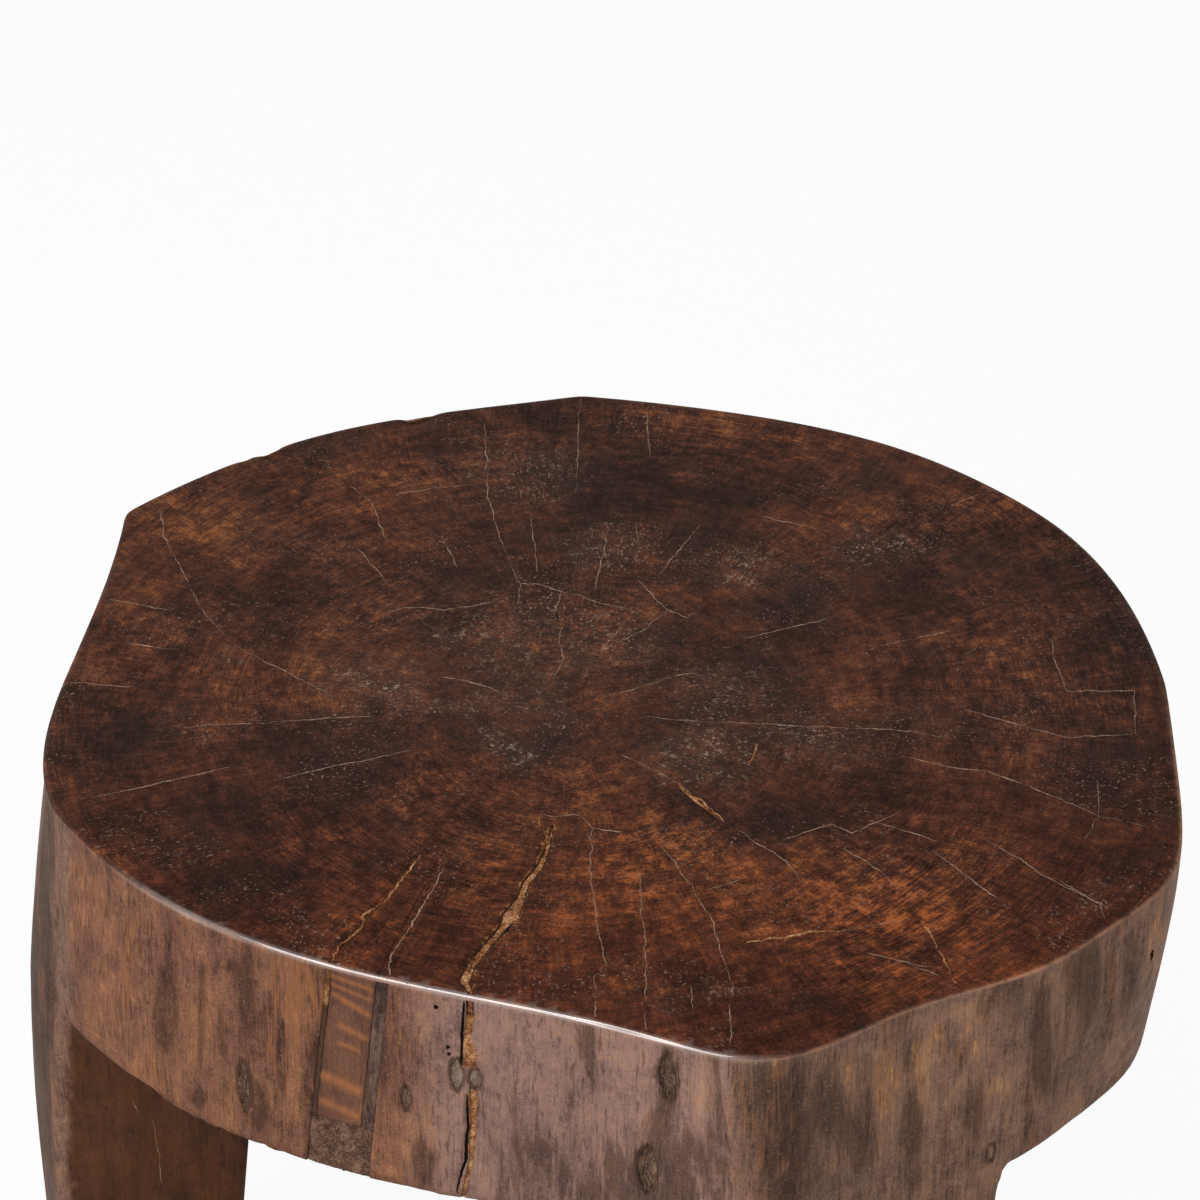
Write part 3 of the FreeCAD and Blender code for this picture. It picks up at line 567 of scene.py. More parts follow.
def worn_depth(at, normal, turn, tree):
    """How far tool marks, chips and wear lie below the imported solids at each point."""
    top = smooth_step(normal[:, 2], 0.5, 0.9) * (at[:, 2] > SKIRT_Z)
    side = 1.0 - smooth_step(np.abs(normal[:, 2]), 0.3, 0.8)
    under = smooth_step(-normal[:, 2], 0.5, 0.9) * (at[:, 2] > FOOT_Z)
    facet = np.minimum(ridges(turn * LOG_RADIUS, at[:, 2], *FACET_SIZE, 11) / 0.35, 1.0)
    low = smooth_step(SEAT_Z - at[:, 2], 2 * MM, 12 * MM)
    depth = SKIN * np.ones(len(at))
    depth += side * low * (SIDE_FACETS * facet + SIDE_WAVES * (1 + wander(at, (0.05, 0.05, 0.11), 5))
                           + SIDE_RIPPLES * (1 + wander(at, (0.007, 0.007, 0.03), 6)))
    depth += top * (SEAT_WAVES * (1 + wander(at, 0.04, 7)) + SEAT_RIPPLES * (1 + wander(at, 0.009, 8)))
    pits = ridges(at[:, 0], at[:, 1], *PIT_SIZE, 21)
    depth += under * (UNDER_PITS * np.minimum(pits / 0.4, 1.0) + UNDER_WAVES * (1 + wander(at, 0.03, 9)))
    for pixel, size, deep in RIM_CHIPS:
        gap = np.linalg.norm(at - np.array(on_seat(pixel)), axis=1)
        depth += deep * np.exp(-(gap / size) ** 2) * (1 + 0.5 * wander(at, 0.004, 10))
    notch = np.array(on_wood(tree, NOTCH))
    return depth + NOTCH_DEPTH * np.exp(-(np.linalg.norm((at - notch) / NOTCH_SIZE, axis=1)) ** 2)


def hewn_block():
    """The whole log as it was hewn and worn, before anything was let into it, and its rim's radii."""
    tangent = Vector((-math.sin(CHECK_TURN), math.cos(CHECK_TURN), 0))
    solid = joined(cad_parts)
    work = bmesh.new()
    work.from_mesh(solid)
    work.from_mesh(joined(CHECK_PIECES, [tangent * CHECK_SPREAD * MM, tangent * -CHECK_SPREAD * MM]))
    work.to_mesh(solid)
    tree = BVHTree.FromBMesh(work)
    work.free()
    radii = rim_radii(tree)
    block = shaped(solid, ("REMESH", {"mode": "VOXEL", "voxel_size": BLOCK_GRAIN}),
                   ("SMOOTH", {"factor": 0.5, "iterations": 5}))
    block = finer_rim(block, radii)
    at = points_of(block)
    turn = np.arctan2(at[:, 1], at[:, 0])
    reach = np.hypot(at[:, 0], at[:, 1])
    rim = rim_at(at, radii)

    # The left leg's broader inner side.
    leg = smooth_step(at[:, 2], *LEFT_LEG_HEIGHTS) * smooth_step(at[:, 0], *LEFT_LEG_GROWTH)
    leg *= (at[:, 0] < LEFT_LEG_INNER) & (np.abs(at[:, 1] - LEFT_LEG_MIDDLE) < LEFT_LEG_HALF)
    at[:, 0] += LEFT_LEG_GAIN * leg

    at = rolled_over(at, radii)
    set_points(block, at)
    normal = eased(block, points_of(block, "normal"), 3)
    normal /= np.linalg.norm(normal, axis=1)[:, None]
    depth = eased(block, worn_depth(at, normal, turn, tree)[:, None], 2)[:, 0]
    depth *= smooth_step(at[:, 2], 0.5 * MM, 4 * MM)
    set_points(block, at - normal * depth[:, None])

    # Fewer faces where nothing is seen closely: under the seat and on the legs' inner faces.
    kept = np.where(at[:, 2] > FINE_Z, 0.6, 0.0)
    kept = np.where(reach > rim - FINE_SKIN, 0.8, kept)
    kept = np.where(rim_gap(at, radii) < RIM_BAND + 2 * MM, 1.0, kept)
    triangles = sum(len(face.vertices) - 2 for face in block.polygons)
    thinned = ("DECIMATE", {"ratio": min(1.0, BLOCK_TRIANGLES / triangles), "vertex_group": "kept",
                            "invert_vertex_group": True, "vertex_group_factor": 1.0})
    return shaped(block, thinned, kept=kept), radii


def inlay(block, name):
    """One inlay, cut from the block's own surface, then sunk and roughened as it dried."""
    grain, sink, lump = (size * MM for size in INLAY_FORMS[name])
    mesh = cut(block.copy(), joined([name]), "INTERSECT")
    mesh = shaped(mesh, ("REMESH", {"mode": "VOXEL", "voxel_size": grain}))
    at, normal = points_of(mesh), points_of(mesh, "normal")
    seed = 40 + INLAYS.index(name)
    outward = at * (1.0, 1.0, 0.0)
    outward /= np.linalg.norm(outward, axis=1)[:, None]
    outward[at[:, 2] > SEAT_Z - 1.5 * MM] = (0.0, 0.0, 1.0)
    face = smooth_step((normal * outward).sum(axis=1), 0.2, 0.7)
    lumps = 0.3 * (1 + wander(at, 0.0032, seed)) + 0.2 * (1 + wander(at, 0.0012, seed + 20))
    depth = (sink + lump * lumps) * face
    set_points(mesh, at - outward * depth[:, None])
    return mesh


# Lines and crumbs laid by Geometry Nodes, and finishes made by shader nodes.


class Signal:
    """One socket in a node tree, with the arithmetic that its nodes do."""

    def __init__(self, nodes, socket):
        self.nodes, self.socket = nodes, socket

    def __add__(self, other):
        return self.nodes.math("ADD", self, other)

    def __radd__(self, other):
        return self.nodes.math("ADD", other, self)

    def __sub__(self, other):
        return self.nodes.math("SUBTRACT", self, other)

    def __rsub__(self, other):
        return self.nodes.math("SUBTRACT", other, self)

    def __mul__(self, other):
        return self.nodes.math("MULTIPLY", self, other)

    def __rmul__(self, other):
        return self.nodes.math("MULTIPLY", other, self)

    def step(self, low, high, low_value=0.0):
        """A soft change from low_value at low to 1 at high; low may be the larger."""
        return self.nodes.add("ShaderNodeMapRange", {"interpolation_type": "SMOOTHSTEP"},
                              {"Value": self, "From Min": low, "From Max": high,
                               "To Min": low_value, "To Max": 1.0})


class Nodes:
    """A node tree that grows by one call for each node."""

    def __init__(self, tree):
        self.tree = tree

    def add(self, kind, settings=None, sockets=None, out=0):
        """A node with its settings made first, then its sockets; returns one output, or none."""
        node = self.tree.nodes.new(kind)
        for key, value in (settings or {}).items():
            if key == "stops":
                while len(node.color_ramp.elements) < len(value):
                    node.color_ramp.elements.new(1.0)
                for stop, (place_at, colour) in zip(node.color_ramp.elements, value):
                    stop.position, stop.color = place_at, colour
            else:
                setattr(node, key, value)
        for key, value in (sockets or {}).items():
            if isinstance(value, Signal):
                self.tree.links.new(value.socket, node.inputs[key])
            else:
                node.inputs[key].default_value = value
        return None if out is None else Signal(self, node.outputs[out])

    def math(self, operation, a, b=0.0):
        return self.add("ShaderNodeMath", {"operation": operation}, {0: a, 1: b})


class GrowingTree(Nodes):
    """A Geometry Nodes tree with named inputs."""

    def __init__(self, name, **inputs):
        super().__init__(bpy.data.node_groups.new(name, "GeometryNodeTree"))
        self.tree.interface.new_socket("Geometry", in_out="INPUT", socket_type="NodeSocketGeometry")
        for key, kind in inputs.items():
            self.tree.interface.new_socket(key, in_out="INPUT", socket_type="NodeSocket" + kind)
        self.tree.interface.new_socket("Geometry", in_out="OUTPUT", socket_type="NodeSocketGeometry")
        self.given = [self.add("NodeGroupInput", out=number) for number in range(len(inputs) + 1)]

    def vector(self, operation, a, b):
        second = "Scale" if operation == "SCALE" else 1
        return self.add("ShaderNodeVectorMath", {"operation": operation}, {0: a, second: b})

    def end(self, geometry, finish):
        """Real mesh with its finish, as the tree's result."""
        real = self.add("GeometryNodeRealizeInstances", {}, {0: geometry})
        dressed = self.add("GeometryNodeSetMaterial", {}, {0: real, "Material": finish})
        self.add("NodeGroupOutput", {}, {0: dressed}, out=None)

    def grow(self, mesh, **values):
        """The plain mesh that this tree makes from another one."""
        thing = place("path", mesh)
        modifier = thing.modifiers.new("grow", "NODES")
        modifier.node_group = self.tree
        for socket in self.tree.interface.items_tree:
            if socket.in_out == "INPUT" and socket.name in values:
                modifier[socket.identifier] = values[socket.name]
        result = bpy.data.meshes.new_from_object(thing.evaluated_get(bpy.context.evaluated_depsgraph_get()))
        bpy.data.objects.remove(thing)
        return result


def line_tree():
    """Round strands that follow paths along a surface, half sunk in it and thinning to their ends."""
    tree = GrowingTree("strand_in_wood", Surface="Object", Width="Float", Sink="Float", Stray="Float",
                       Fade="Float", Finish="Material")
    geometry, surface, width, sink, stray, fade, finish = tree.given
    curve = tree.add("GeometryNodeResampleCurve", {"mode": "LENGTH"},
                     {"Curve": tree.add("GeometryNodeMeshToCurve", {}, {0: geometry}), "Length": STRAND_STEP})
    wood = tree.add("GeometryNodeObjectInfo", {}, {0: surface}, out="Geometry")
    position = tree.add("GeometryNodeInputPosition")
    shake = tree.add("ShaderNodeTexNoise", {},
                     {"Vector": position, "Scale": 150.0, "Detail": 5.0, "Roughness": 0.72}, out="Color")
    shake = tree.vector("SCALE", tree.vector("SUBTRACT", shake, (0.5, 0.5, 0.5)), stray)
    moved = tree.add("GeometryNodeSetPosition", {}, {0: curve, "Offset": shake})
    nearest = tree.add("GeometryNodeProximity", {"target_element": "FACES"}, {0: wood})
    facing = tree.add("GeometryNodeSampleNearestSurface", {"data_type": "FLOAT_VECTOR"},
                      {0: wood, "Value": tree.add("GeometryNodeInputNormal")})
    sunk = tree.vector("SUBTRACT", nearest, tree.vector("SCALE", facing, sink))
    laid = tree.add("GeometryNodeSetPosition", {}, {0: moved, "Position": sunk})
    share = tree.add("GeometryNodeSplineParameter")
    ends = tree.math("MAXIMUM", share * (1.0 - share) * 4.0, 0.06)
    uneven = tree.add("ShaderNodeTexNoise", {}, {"Vector": position, "Scale": 260.0, "Detail": 2.0})
    gone = tree.add("ShaderNodeTexNoise", {}, {"Vector": position, "Scale": 95.0, "Detail": 2.0})
    taper = tree.math("POWER", ends, 0.35) * (gone.step(0.36, 0.54, fade) * (uneven + 0.5))
    ring = tree.add("GeometryNodeCurvePrimitiveCircle", {}, {"Resolution": STRAND_SIDES, "Radius": 0.5})
    tube = tree.add("GeometryNodeCurveToMesh", {},
                    {0: laid, 1: ring, "Scale": taper * width, "Fill Caps": True})
    tree.end(tube, finish)
    return tree


def grain_tree():
    """Crumbs scattered over the middle of a filler."""
    tree = GrowingTree("crumbs", Density="Float", Size="Float", Seed="Int", Finish="Material")
    geometry, density, size, seed, finish = tree.given
    facing = tree.add("ShaderNodeSeparateXYZ", {}, {0: tree.add("GeometryNodeInputNormal")}, out=2)
    middle = tree.add("GeometryNodeInputNamedAttribute", {"data_type": "FLOAT"}, {"Name": "middle"})
    points = tree.add("GeometryNodeDistributePointsOnFaces", {},
                      {"Mesh": geometry, "Density": density * middle, "Seed": seed,
                       "Selection": tree.math("GREATER_THAN", facing, -0.4)})
    crumb = tree.add("GeometryNodeMeshIcoSphere", {}, {"Radius": 0.5, "Subdivisions": 1})
    scale, turned = (tree.add("FunctionNodeRandomValue", {"data_type": "FLOAT_VECTOR"},
                              {0: low, 1: high, "Seed": seed}) for low, high in (CRUMB_SHAPES, CRUMB_TURNS))
    bits = tree.add("GeometryNodeInstanceOnPoints", {},
                    {"Points": points, "Instance": crumb, "Rotation": turned,
                     "Scale": tree.vector("SCALE", scale, size)})
    tree.end(bits, finish)
    return tree


def path_mesh(lines):
    """Open lines of points as edges."""
    points, edges = [], []
    for line in lines:
        edges += [(len(points) + i, len(points) + i + 1) for i in range(len(line) - 1)]
        points += [tuple(point) for point in line]
    mesh = bpy.data.meshes.new("lines")
    mesh.from_pydata(points, edges, [])
    return mesh


def tint(red, green, blue):
    """A colour written as it looks on a screen, 0 to 255, as Blender's linear one."""
    def linear(value):
        value /= 255
        return value / 12.92 if value <= 0.04045 else ((value + 0.055) / 1.055) ** 2.4
    return linear(red), linear(green), linear(blue), 1.0


class Finish(Nodes):
    """A procedural material, built by its expressions."""

    def __init__(self, name):
        self.material = bpy.data.materials.new(name)
        self.material.use_nodes = True
        super().__init__(self.material.node_tree)
        self.tree.nodes.clear()
        self.at = self.add("ShaderNodeTexCoord", out="Object")

    def axis(self, vector, number):
        return self.add("ShaderNodeSeparateXYZ", {}, {0: vector}, out=number)

    def facing_up(self):
        """How far the surface faces upwards."""
        return self.axis(self.add("ShaderNodeNewGeometry", out="Normal"), 2)

    def mix(self, share, a, b, blend="MIX"):
        """Colour a turning to colour b by a share."""
        return self.add("ShaderNodeMix", {"data_type": "RGBA", "blend_type": blend, "clamp_factor": True},
                        {0: share, 6: a, 7: b}, out=2)

    def noise(self, scale, detail=2.0, rough=0.5, stretch=(1.0, 1.0, 1.0), shift=(0.0, 0.0, 0.0), at=None,
              bend=0.0):
        """Noise over the object, or over another vector, stretched, shifted and bent."""
        vector = self.add("ShaderNodeMapping", {},
                          {"Vector": at or self.at, "Location": shift, "Scale": stretch})
        return self.add("ShaderNodeTexNoise", {}, {"Vector": vector, "Scale": scale, "Detail": detail,
                                                   "Roughness": rough, "Distortion": bend})

    def ramp(self, share, *stops):
        """Colours along a share: each stop is a place, then red, green and blue as on a screen."""
        tones = [(at, tint(*colour)) for at, *colour in stops]
        return self.add("ShaderNodeValToRGB", {"stops": tones}, {0: share})

    def share(self, name):
        """A value kept at the piece's own points."""
        return self.add("ShaderNodeAttribute", {"attribute_name": name}, out="Fac")

    def bump(self, height, distance):
        """Normals bent by a height from 0 to 1, over a distance in metres."""
        return self.add("ShaderNodeBump", {}, {"Height": height, "Distance": distance, "Strength": 1.0})

    def done(self, colour, rough, normal, **constants):
        """Closes the finish with its surface; constants go straight to the surface's own sockets."""
        sockets = {"Base Color": colour, "Roughness": rough, "Normal": normal}
        sockets.update({key.replace("_", " "): value for key, value in constants.items()})
        self.close(self.add("ShaderNodeBsdfPrincipled", {}, sockets))
        return self.material

    def close(self, surface):
        self.add("ShaderNodeOutputMaterial", {}, {"Surface": surface}, out=None)


def wood_finish(name, barred=False):
    """Waxed hardwood: end grain with rings and rays on the seat, long grain on skirt and legs."""
    f = Finish(name)
    x, y, z = (f.axis(f.at, number) for number in range(3))
    end = f.facing_up().step(*UPWARD) * z.step(*END_GRAIN_HEIGHTS)
    worn, stain, dust, mauve, grey, edge, arris, spill, scar, leg = (
        f.share(key)
        for key in ("worn", "stain", "dust", "mauve", "grey", "edge", "arris", "spill", "scar", "leg"))
    mottle = f.noise(170.0, 5.0, 0.75, shift=(1.0, 6.0, 2.0))
    pores = f.noise(1250.0, 2.0, 0.7)

    # End grain, turned about the pith: arcs along the rings, rays across them, wax stains, and greyish
    # patches of painted sheen.
    east, north = x - PITH[0], y - PITH[1]
    warp = f.noise(9.0, 3.0) - 0.5
    radius = f.math("SQRT", east * east + north * north) + warp * 0.016
    angle = f.math("ARCTAN2", north, east) + warp * 0.25
    polar = f.add("ShaderNodeCombineXYZ", {},
                  {0: f.math("COSINE", angle), 1: f.math("SINE", angle), 2: radius * 10.0})
    fine_arcs = f.noise(1.0, 4.0, 0.7, stretch=(16.0, 16.0, 130.0), at=polar)
    wide_arcs = f.noise(1.0, 2.0, 0.6, stretch=(5.0, 5.0, 28.0), at=polar)
    rays = f.noise(1.0, 3.0, 0.65, stretch=(120.0, 120.0, 4.0), at=polar)
    cloud = f.noise(15.0, 6.0, 0.68, bend=0.5)
    blotch = f.noise(48.0, 6.0, 0.74, shift=(3.0, 1.0, 2.0), bend=0.3)
    sawn = f.noise(14.0, 2.0, shift=(9.0, 2.0, 0.0)).step(0.42, 0.62)
    tone = 0.5 + (cloud - 0.5) * 0.75 + (blotch - 0.5) * 0.4 + (mottle - 0.5) * 0.65 + (wide_arcs - 0.5) * 0.3
    tone = tone + (sawn * 0.6 + 0.12) * (fine_arcs - 0.5) + (rays - 0.5) * 0.35 + (pores - 0.5) * 0.55
    tone = tone + (blotch.step(0.42, 0.58) - 0.5) * 0.07
    tone = tone + worn * (mottle * 1.3 + fine_arcs * 0.8 - 0.88) - stain * (blotch * 0.5 - 0.05)
    seat = f.ramp(tone, (0.14, 30, 20, 16), (0.32, 46, 29, 23), (0.47, 63, 39, 31),
                  (0.59, 82, 50, 37), (0.71, 104, 63, 43), (0.86, 142, 89, 54))
    # Greyish patches where the wood is not worn: a painted sheen.
    cool = f.noise(24.0, 6.0, 0.72, shift=(4.0, 4.0, 1.0)).step(0.5, 0.7) * (1 - worn)
    seat = f.mix(cool * 0.4, seat, tint(50, 40, 37))
    specks = f.noise(850.0, 1.0, 0.5, shift=(7.0, 0.0, 0.0)).step(0.65, 0.71)
    dashes = f.noise(1.0, 1.0, 0.6, stretch=(150.0, 150.0, 35.0), at=polar).step(0.64, 0.7)
    crowd = f.noise(30.0, 2.0, shift=(2.0, 8.0, 0.0)).step(0.46, 0.66)
    scuff = f.noise(260.0, 3.0, 0.7, shift=(8.0, 3.0, 1.0)).step(0.58, 0.67)
    powder = specks * (dust * 0.8 + crowd * 0.35 + 0.05) + dashes * (dust * 0.8 + crowd * 0.14)
    powder = powder + scuff * dust * 0.75
    seat = f.mix(stain * 0.3, seat, tint(44, 36, 37))
    seat = f.mix(y.step(0.0, -0.16) * 0.8, seat, FRONT_WARMTH, "MULTIPLY")
    seat = f.mix(powder, seat, tint(156, 131, 113))
    seat = f.mix(dust * 0.16, seat, tint(112, 92, 80))

    # Long grain: fine fibres, and stains that run down them with ragged edges.
    fibre = f.noise(420.0, 4.0, 0.75, stretch=(1.0, 1.0, 0.06), bend=0.2)
    strand = f.noise(1500.0, 2.0, 0.6, stretch=(1.0, 1.0, 0.04))
    stripe = f.noise(62.0, 5.0, 0.68, stretch=(1.0, 1.0, 0.22), shift=(1.0, 5.0, 0.0), bend=0.5)
    smear = f.noise(34.0, 6.0, 0.7, stretch=(1.0, 1.0, 0.55), shift=(6.0, 2.0, 3.0), bend=0.8)
    grain = 0.5 + (fibre - 0.5) * 0.38 + (strand - 0.5) * 0.28 + (stripe - 0.5) * 0.4 + (smear - 0.5) * 0.95
    grain = grain + (mottle - 0.5) * 0.6 + (pores - 0.5) * 0.45 + worn * (fibre * 0.5 - 0.12)
    skirt = f.ramp(grain, (0.2, 64, 44, 37), (0.38, 97, 66, 54), (0.5, 118, 81, 65),
                   (0.6, 133, 91, 69), (0.78, 168, 117, 80))
    # A greyer, paler grain on the front of the skirt that faces the lamps: a painted sheen.
    sheen_grain = f.ramp(grain, (0.2, 76, 59, 55), (0.38, 117, 92, 84), (0.5, 138, 109, 99),
                    (0.6, 150, 117, 103), (0.78, 174, 132, 104))
    # A greyer grain: on the far-left strip a painted grazing sheen, on the right side a greyer tone.
    greyed_grain = f.ramp(grain, (0.25, 62, 51, 44), (0.5, 121, 99, 86), (0.75, 154, 124, 100))
    skirt = f.mix(mauve * 0.9, skirt, sheen_grain)
    skirt = f.mix(grey * 0.6, skirt, greyed_grain)
    ragged = (stripe - 0.5) * 2.6 + (smear - 0.5) * 1.3 + (fibre - 0.5) * 1.1 + (mottle - 0.5) * 0.6
    run = (stain * 0.85 + ragged).step(0.14, 0.62) * 0.72
    skirt = f.mix(run, skirt, f.ramp(fibre + (pores - 0.5) * 0.5, (0.35, 38, 27, 23), (0.65, 70, 50, 42)))
    # Pale orange patches, greyer within the painted sheen.
    glow = (worn * 0.6 - ragged + (strand - 0.5) * 1.2).step(0.2, 0.68) * (0.5 - grey * 0.2)
    skirt = f.mix(glow, skirt, f.mix(mauve, tint(156, 104, 66), tint(164, 124, 102)))
    bright_fibres = worn.step(0.4, 0.9) * (strand + (fibre - 0.5) * 0.6).step(0.52, 0.62)
    skirt = f.mix(bright_fibres * 0.45, skirt, tint(178, 122, 72))
    chips = f.noise(300.0, 5.0, 0.75, stretch=(1.0, 1.0, 0.32), shift=(2.0, 4.0, 1.0)).step(0.53, 0.58)
    chips = chips * worn.step(0.2, 0.75) * grey
    skirt = f.mix(chips * 0.8, skirt, f.ramp(strand, (0.35, 142, 96, 58), (0.65, 194, 146, 96)))
    # The legs darkened below the skirt: painted shade.
    skirt = f.mix(leg * 0.78, skirt, f.ramp(smear + (fibre - 0.5) * 0.6, (0.3, 44, 30, 22), (0.7, 84, 50, 28)))
    slits = f.noise(700.0, 2.0, 0.6, stretch=(1.0, 1.0, 0.14), shift=(3.0, 9.0, 0.0)).step(0.6, 0.68)
    skirt = f.mix(slits * 0.45, skirt, tint(46, 33, 28))
    skirt = f.mix(specks * (0.15 - leg * 0.12), skirt, tint(176, 146, 122))
    if barred:
        skirt = f.mix(0.55, skirt, tint(76, 53, 46))
        skirt = f.mix(f.share("bars") * (fibre * 0.9 + stripe * 0.5 - 0.1) * 0.95, skirt, tint(164, 104, 64))

    # Bark flakes round the knots, crumbled filler beside the checks, edges rubbed pale, and a painted
    # highlight along the rim on the right.
    colour = f.mix(end, skirt, seat)
    flakes = (scar + (fibre - 0.5) * 2.2 + (mottle - 0.5) * 1.4).step(0.62, 0.8) * scar.step(0.05, 0.3)
    bark = f.ramp(strand, (0.3, 40, 28, 23), (0.6, 84, 62, 50), (0.8, 140, 100, 68))
    colour = f.mix(flakes * 0.75, colour, bark)
    crumbled = (spill + (blotch - 0.5) * 1.6 + (mottle - 0.5) * 1.3).step(0.72, 0.84) * spill.step(0.05, 0.3)
    powdered = f.ramp(pores + (mottle - 0.5) * 0.6, (0.3, 84, 46, 25), (0.5, 132, 80, 46), (0.7, 180, 132, 92))
    colour = f.mix(crumbled * 0.75, colour, powdered)
    colour = f.mix(edge * (mottle.step(0.4, 0.6) * 0.5 + 0.15), colour, tint(150, 98, 60))
    # A pale line along the rim on the right: a painted highlight.
    colour = f.mix(arris * (mottle.step(0.36, 0.56) * 0.6 + 0.25), colour, tint(164, 118, 90))
    rough = 0.45 + (cloud - 0.5) * 0.3 + dust * 0.15 + (1 - end) * ((strand - 0.5) * 0.25 + 0.04)
    height = end * (fine_arcs * 0.3 + pores * 0.4 + mottle * 0.7) + (1 - end) * (fibre * 0.8 + strand * 0.5)
    height = height + crumbled * 0.8 - flakes * 0.6
    return f.done(colour, rough, f.bump(height, 0.3 * MM), Specular_IOR_Level=0.012,
                  Coat_Weight=edge, Coat_Roughness=0.12, Coat_IOR=2.6)


def inlay_finish(name, dark, middle, light, speck, scale, rough, stretch=(1.0, 1.0, 1.0), relief=0.3 * MM,
                 seat_tone=None, foot_tone=None, side_tone=None):
    """Filler, putty or old wood: mottled between three colours, with specks, and browned where told."""
    f = Finish(name)
    blotch = f.noise(scale, 4.0, 0.65, stretch=stretch)
    fine = f.noise(scale * 7, 2.0, 0.65, stretch=stretch, shift=(2.0, 3.0, 1.0))
    spots = f.noise(scale * 12, 1.0, 0.6, shift=(5.0, 1.0, 8.0))
    colour = f.ramp(blotch * 0.85 + fine * 0.6 - 0.22, (0.33, *dark), (0.5, *middle), (0.67, *light))
    colour = f.mix(spots.step(0.62, 0.72) * 0.6, colour, tint(*speck))
    if seat_tone:
        colour = f.mix(f.facing_up().step(*UPWARD) * (0.95 - fine * 0.5), colour, tint(*seat_tone))
    if foot_tone:
        below_rim = (f.axis(f.at, 2) + blotch * 0.012).step(*SEAM_HEIGHTS)
        colour = f.mix(below_rim * 0.9, colour, tint(*foot_tone))
    if side_tone:
        kept = (f.share("middle") + (blotch - 0.5) * 1.5).step(0.3, 0.55)
        colour = f.mix(kept, f.mix(fine.step(0.4, 0.6), tint(34, 21, 15), tint(*side_tone)), colour)
    height = blotch * 0.5 + fine * 0.6 + spots * 0.3
    return f.done(colour, rough + (fine - 0.5) * 0.25, f.bump(height, relief), Specular_IOR_Level=0.12)


def crack_finish():
    """The black inside of an open check and of the bored holes: painted shade."""
    f = Finish("open_crack")
    grit = f.noise(500.0, 3.0, 0.6)
    return f.done(f.ramp(grit, (0.3, 12, 8, 7), (0.8, 34, 22, 17)), 0.85 + (grit - 0.5) * 0.1,
                  f.bump(grit, 0.2 * MM), Specular_IOR_Level=0.1)


log_wood = wood_finish("log_wood")
open_crack = crack_finish()
wedge_wood = wood_finish("wedge_wood", barred=True)
tan_filler = inlay_finish("tan_filler", (70, 38, 20), (136, 86, 50), (198, 152, 108), (218, 188, 154),
                          230.0, 0.8, relief=0.6 * MM)
main_filler = inlay_finish("main_filler", (58, 32, 18), (128, 78, 44), (190, 146, 106), (214, 184, 152),
                           130.0, 0.8, relief=0.6 * MM, side_tone=(84, 48, 28))
seam_filler = inlay_finish("seam_filler", (70, 40, 22), (120, 76, 44), (166, 122, 80), (190, 156, 120),
                           190.0, 0.8, foot_tone=(58, 40, 32))
dark_filler = inlay_finish("dark_filler", (42, 30, 25), (72, 52, 43), (104, 82, 71), (132, 112, 100),
                           150.0, 0.62, (1.0, 1.0, 0.25), seat_tone=(72, 34, 18))
grey_putty = inlay_finish("grey_putty", (62, 46, 38), (102, 82, 70), (140, 120, 106), (170, 150, 132),
                          230.0, 0.8)
foot_putty = inlay_finish("foot_putty", (50, 34, 27), (88, 62, 49), (124, 95, 77), (172, 146, 122),
                          180.0, 0.8)
knot_wood = inlay_finish("knot_wood", (34, 23, 19), (86, 63, 51), (136, 106, 84), (160, 128, 98),
                         240.0, 0.7, (1.0, 1.0, 0.3), relief=0.6 * MM)
rubbed_wood = inlay_finish("rubbed_wood", (92, 60, 42), (138, 92, 62), (166, 118, 82), (182, 138, 100),
                           230.0, 0.6)
check_dust = inlay_finish("check_dust", (84, 62, 50), (124, 99, 82), (164, 140, 120), (194, 174, 156),
                          220.0, 0.85)

# Each inlay's finish, and the record's slot for it.
INLAY_FINISHES = {
    "repair_wedge": (wedge_wood, "wedge_wood"), "wedge_left_filler": (seam_filler, "tan_filler"),
    "wedge_right_filler": (dark_filler, "dark_filler"), "wedge_foot_filler": (foot_putty, "grey_putty"),
    "check_top_filler": (main_filler, "tan_filler"), "check_upper_filler": (tan_filler, "tan_filler"),
    "check_lower_filler": (tan_filler, "tan_filler"), "left_putty": (grey_putty, "grey_putty"),
    "right_putty": (grey_putty, "grey_putty"), "pin_knots": (knot_wood, "knot_wood"),
    "short_check_fillers": (tan_filler, "tan_filler")}

# The block, its inlays and their recesses, then the open cracks and bored holes.
block, rim_line = hewn_block()
wood_tree = BVHTree.FromPolygons([v.co for v in block.vertices], [p.vertices for p in block.polygons])
inlay_meshes = {name: inlay(block, name) for name in INLAYS}
trunk_mesh = block.copy()
for name in INLAYS:
    recess = shaped(joined([name]), ("DISPLACE", {"strength": RECESS_ROOM, "mid_level": 0.0}))
    trunk_mesh = cut(trunk_mesh, recess, "DIFFERENCE")

strands = line_tree()
block_shape = place("block_shape", block)


def strands_along(lines, finish, width, sink, stray, fade):
    """Strands along lines of photo pixels, laid on the block; width, sink and stray in millimetres."""
    paths = path_mesh([[on_wood(wood_tree, pixel) for pixel in line] for line in lines])
    return strands.grow(paths, Surface=block_shape, Width=width * MM, Sink=sink * MM, Stray=stray * MM,
                        Fade=fade, Finish=finish)


def bored(mesh, pixel, size):
    """The mesh with a small round hole at a pixel."""
    work = bmesh.new()
    bmesh.ops.create_icosphere(work, subdivisions=3, radius=size / 2)
    bmesh.ops.translate(work, verts=work.verts, vec=on_wood(wood_tree, pixel))
    bore = bpy.data.meshes.new("bore")
    work.to_mesh(bore)
    work.free()
    # Its inside takes the painted shade of the cracks.
    bore.materials.append(open_crack)
    return cut(mesh, bore, "DIFFERENCE")


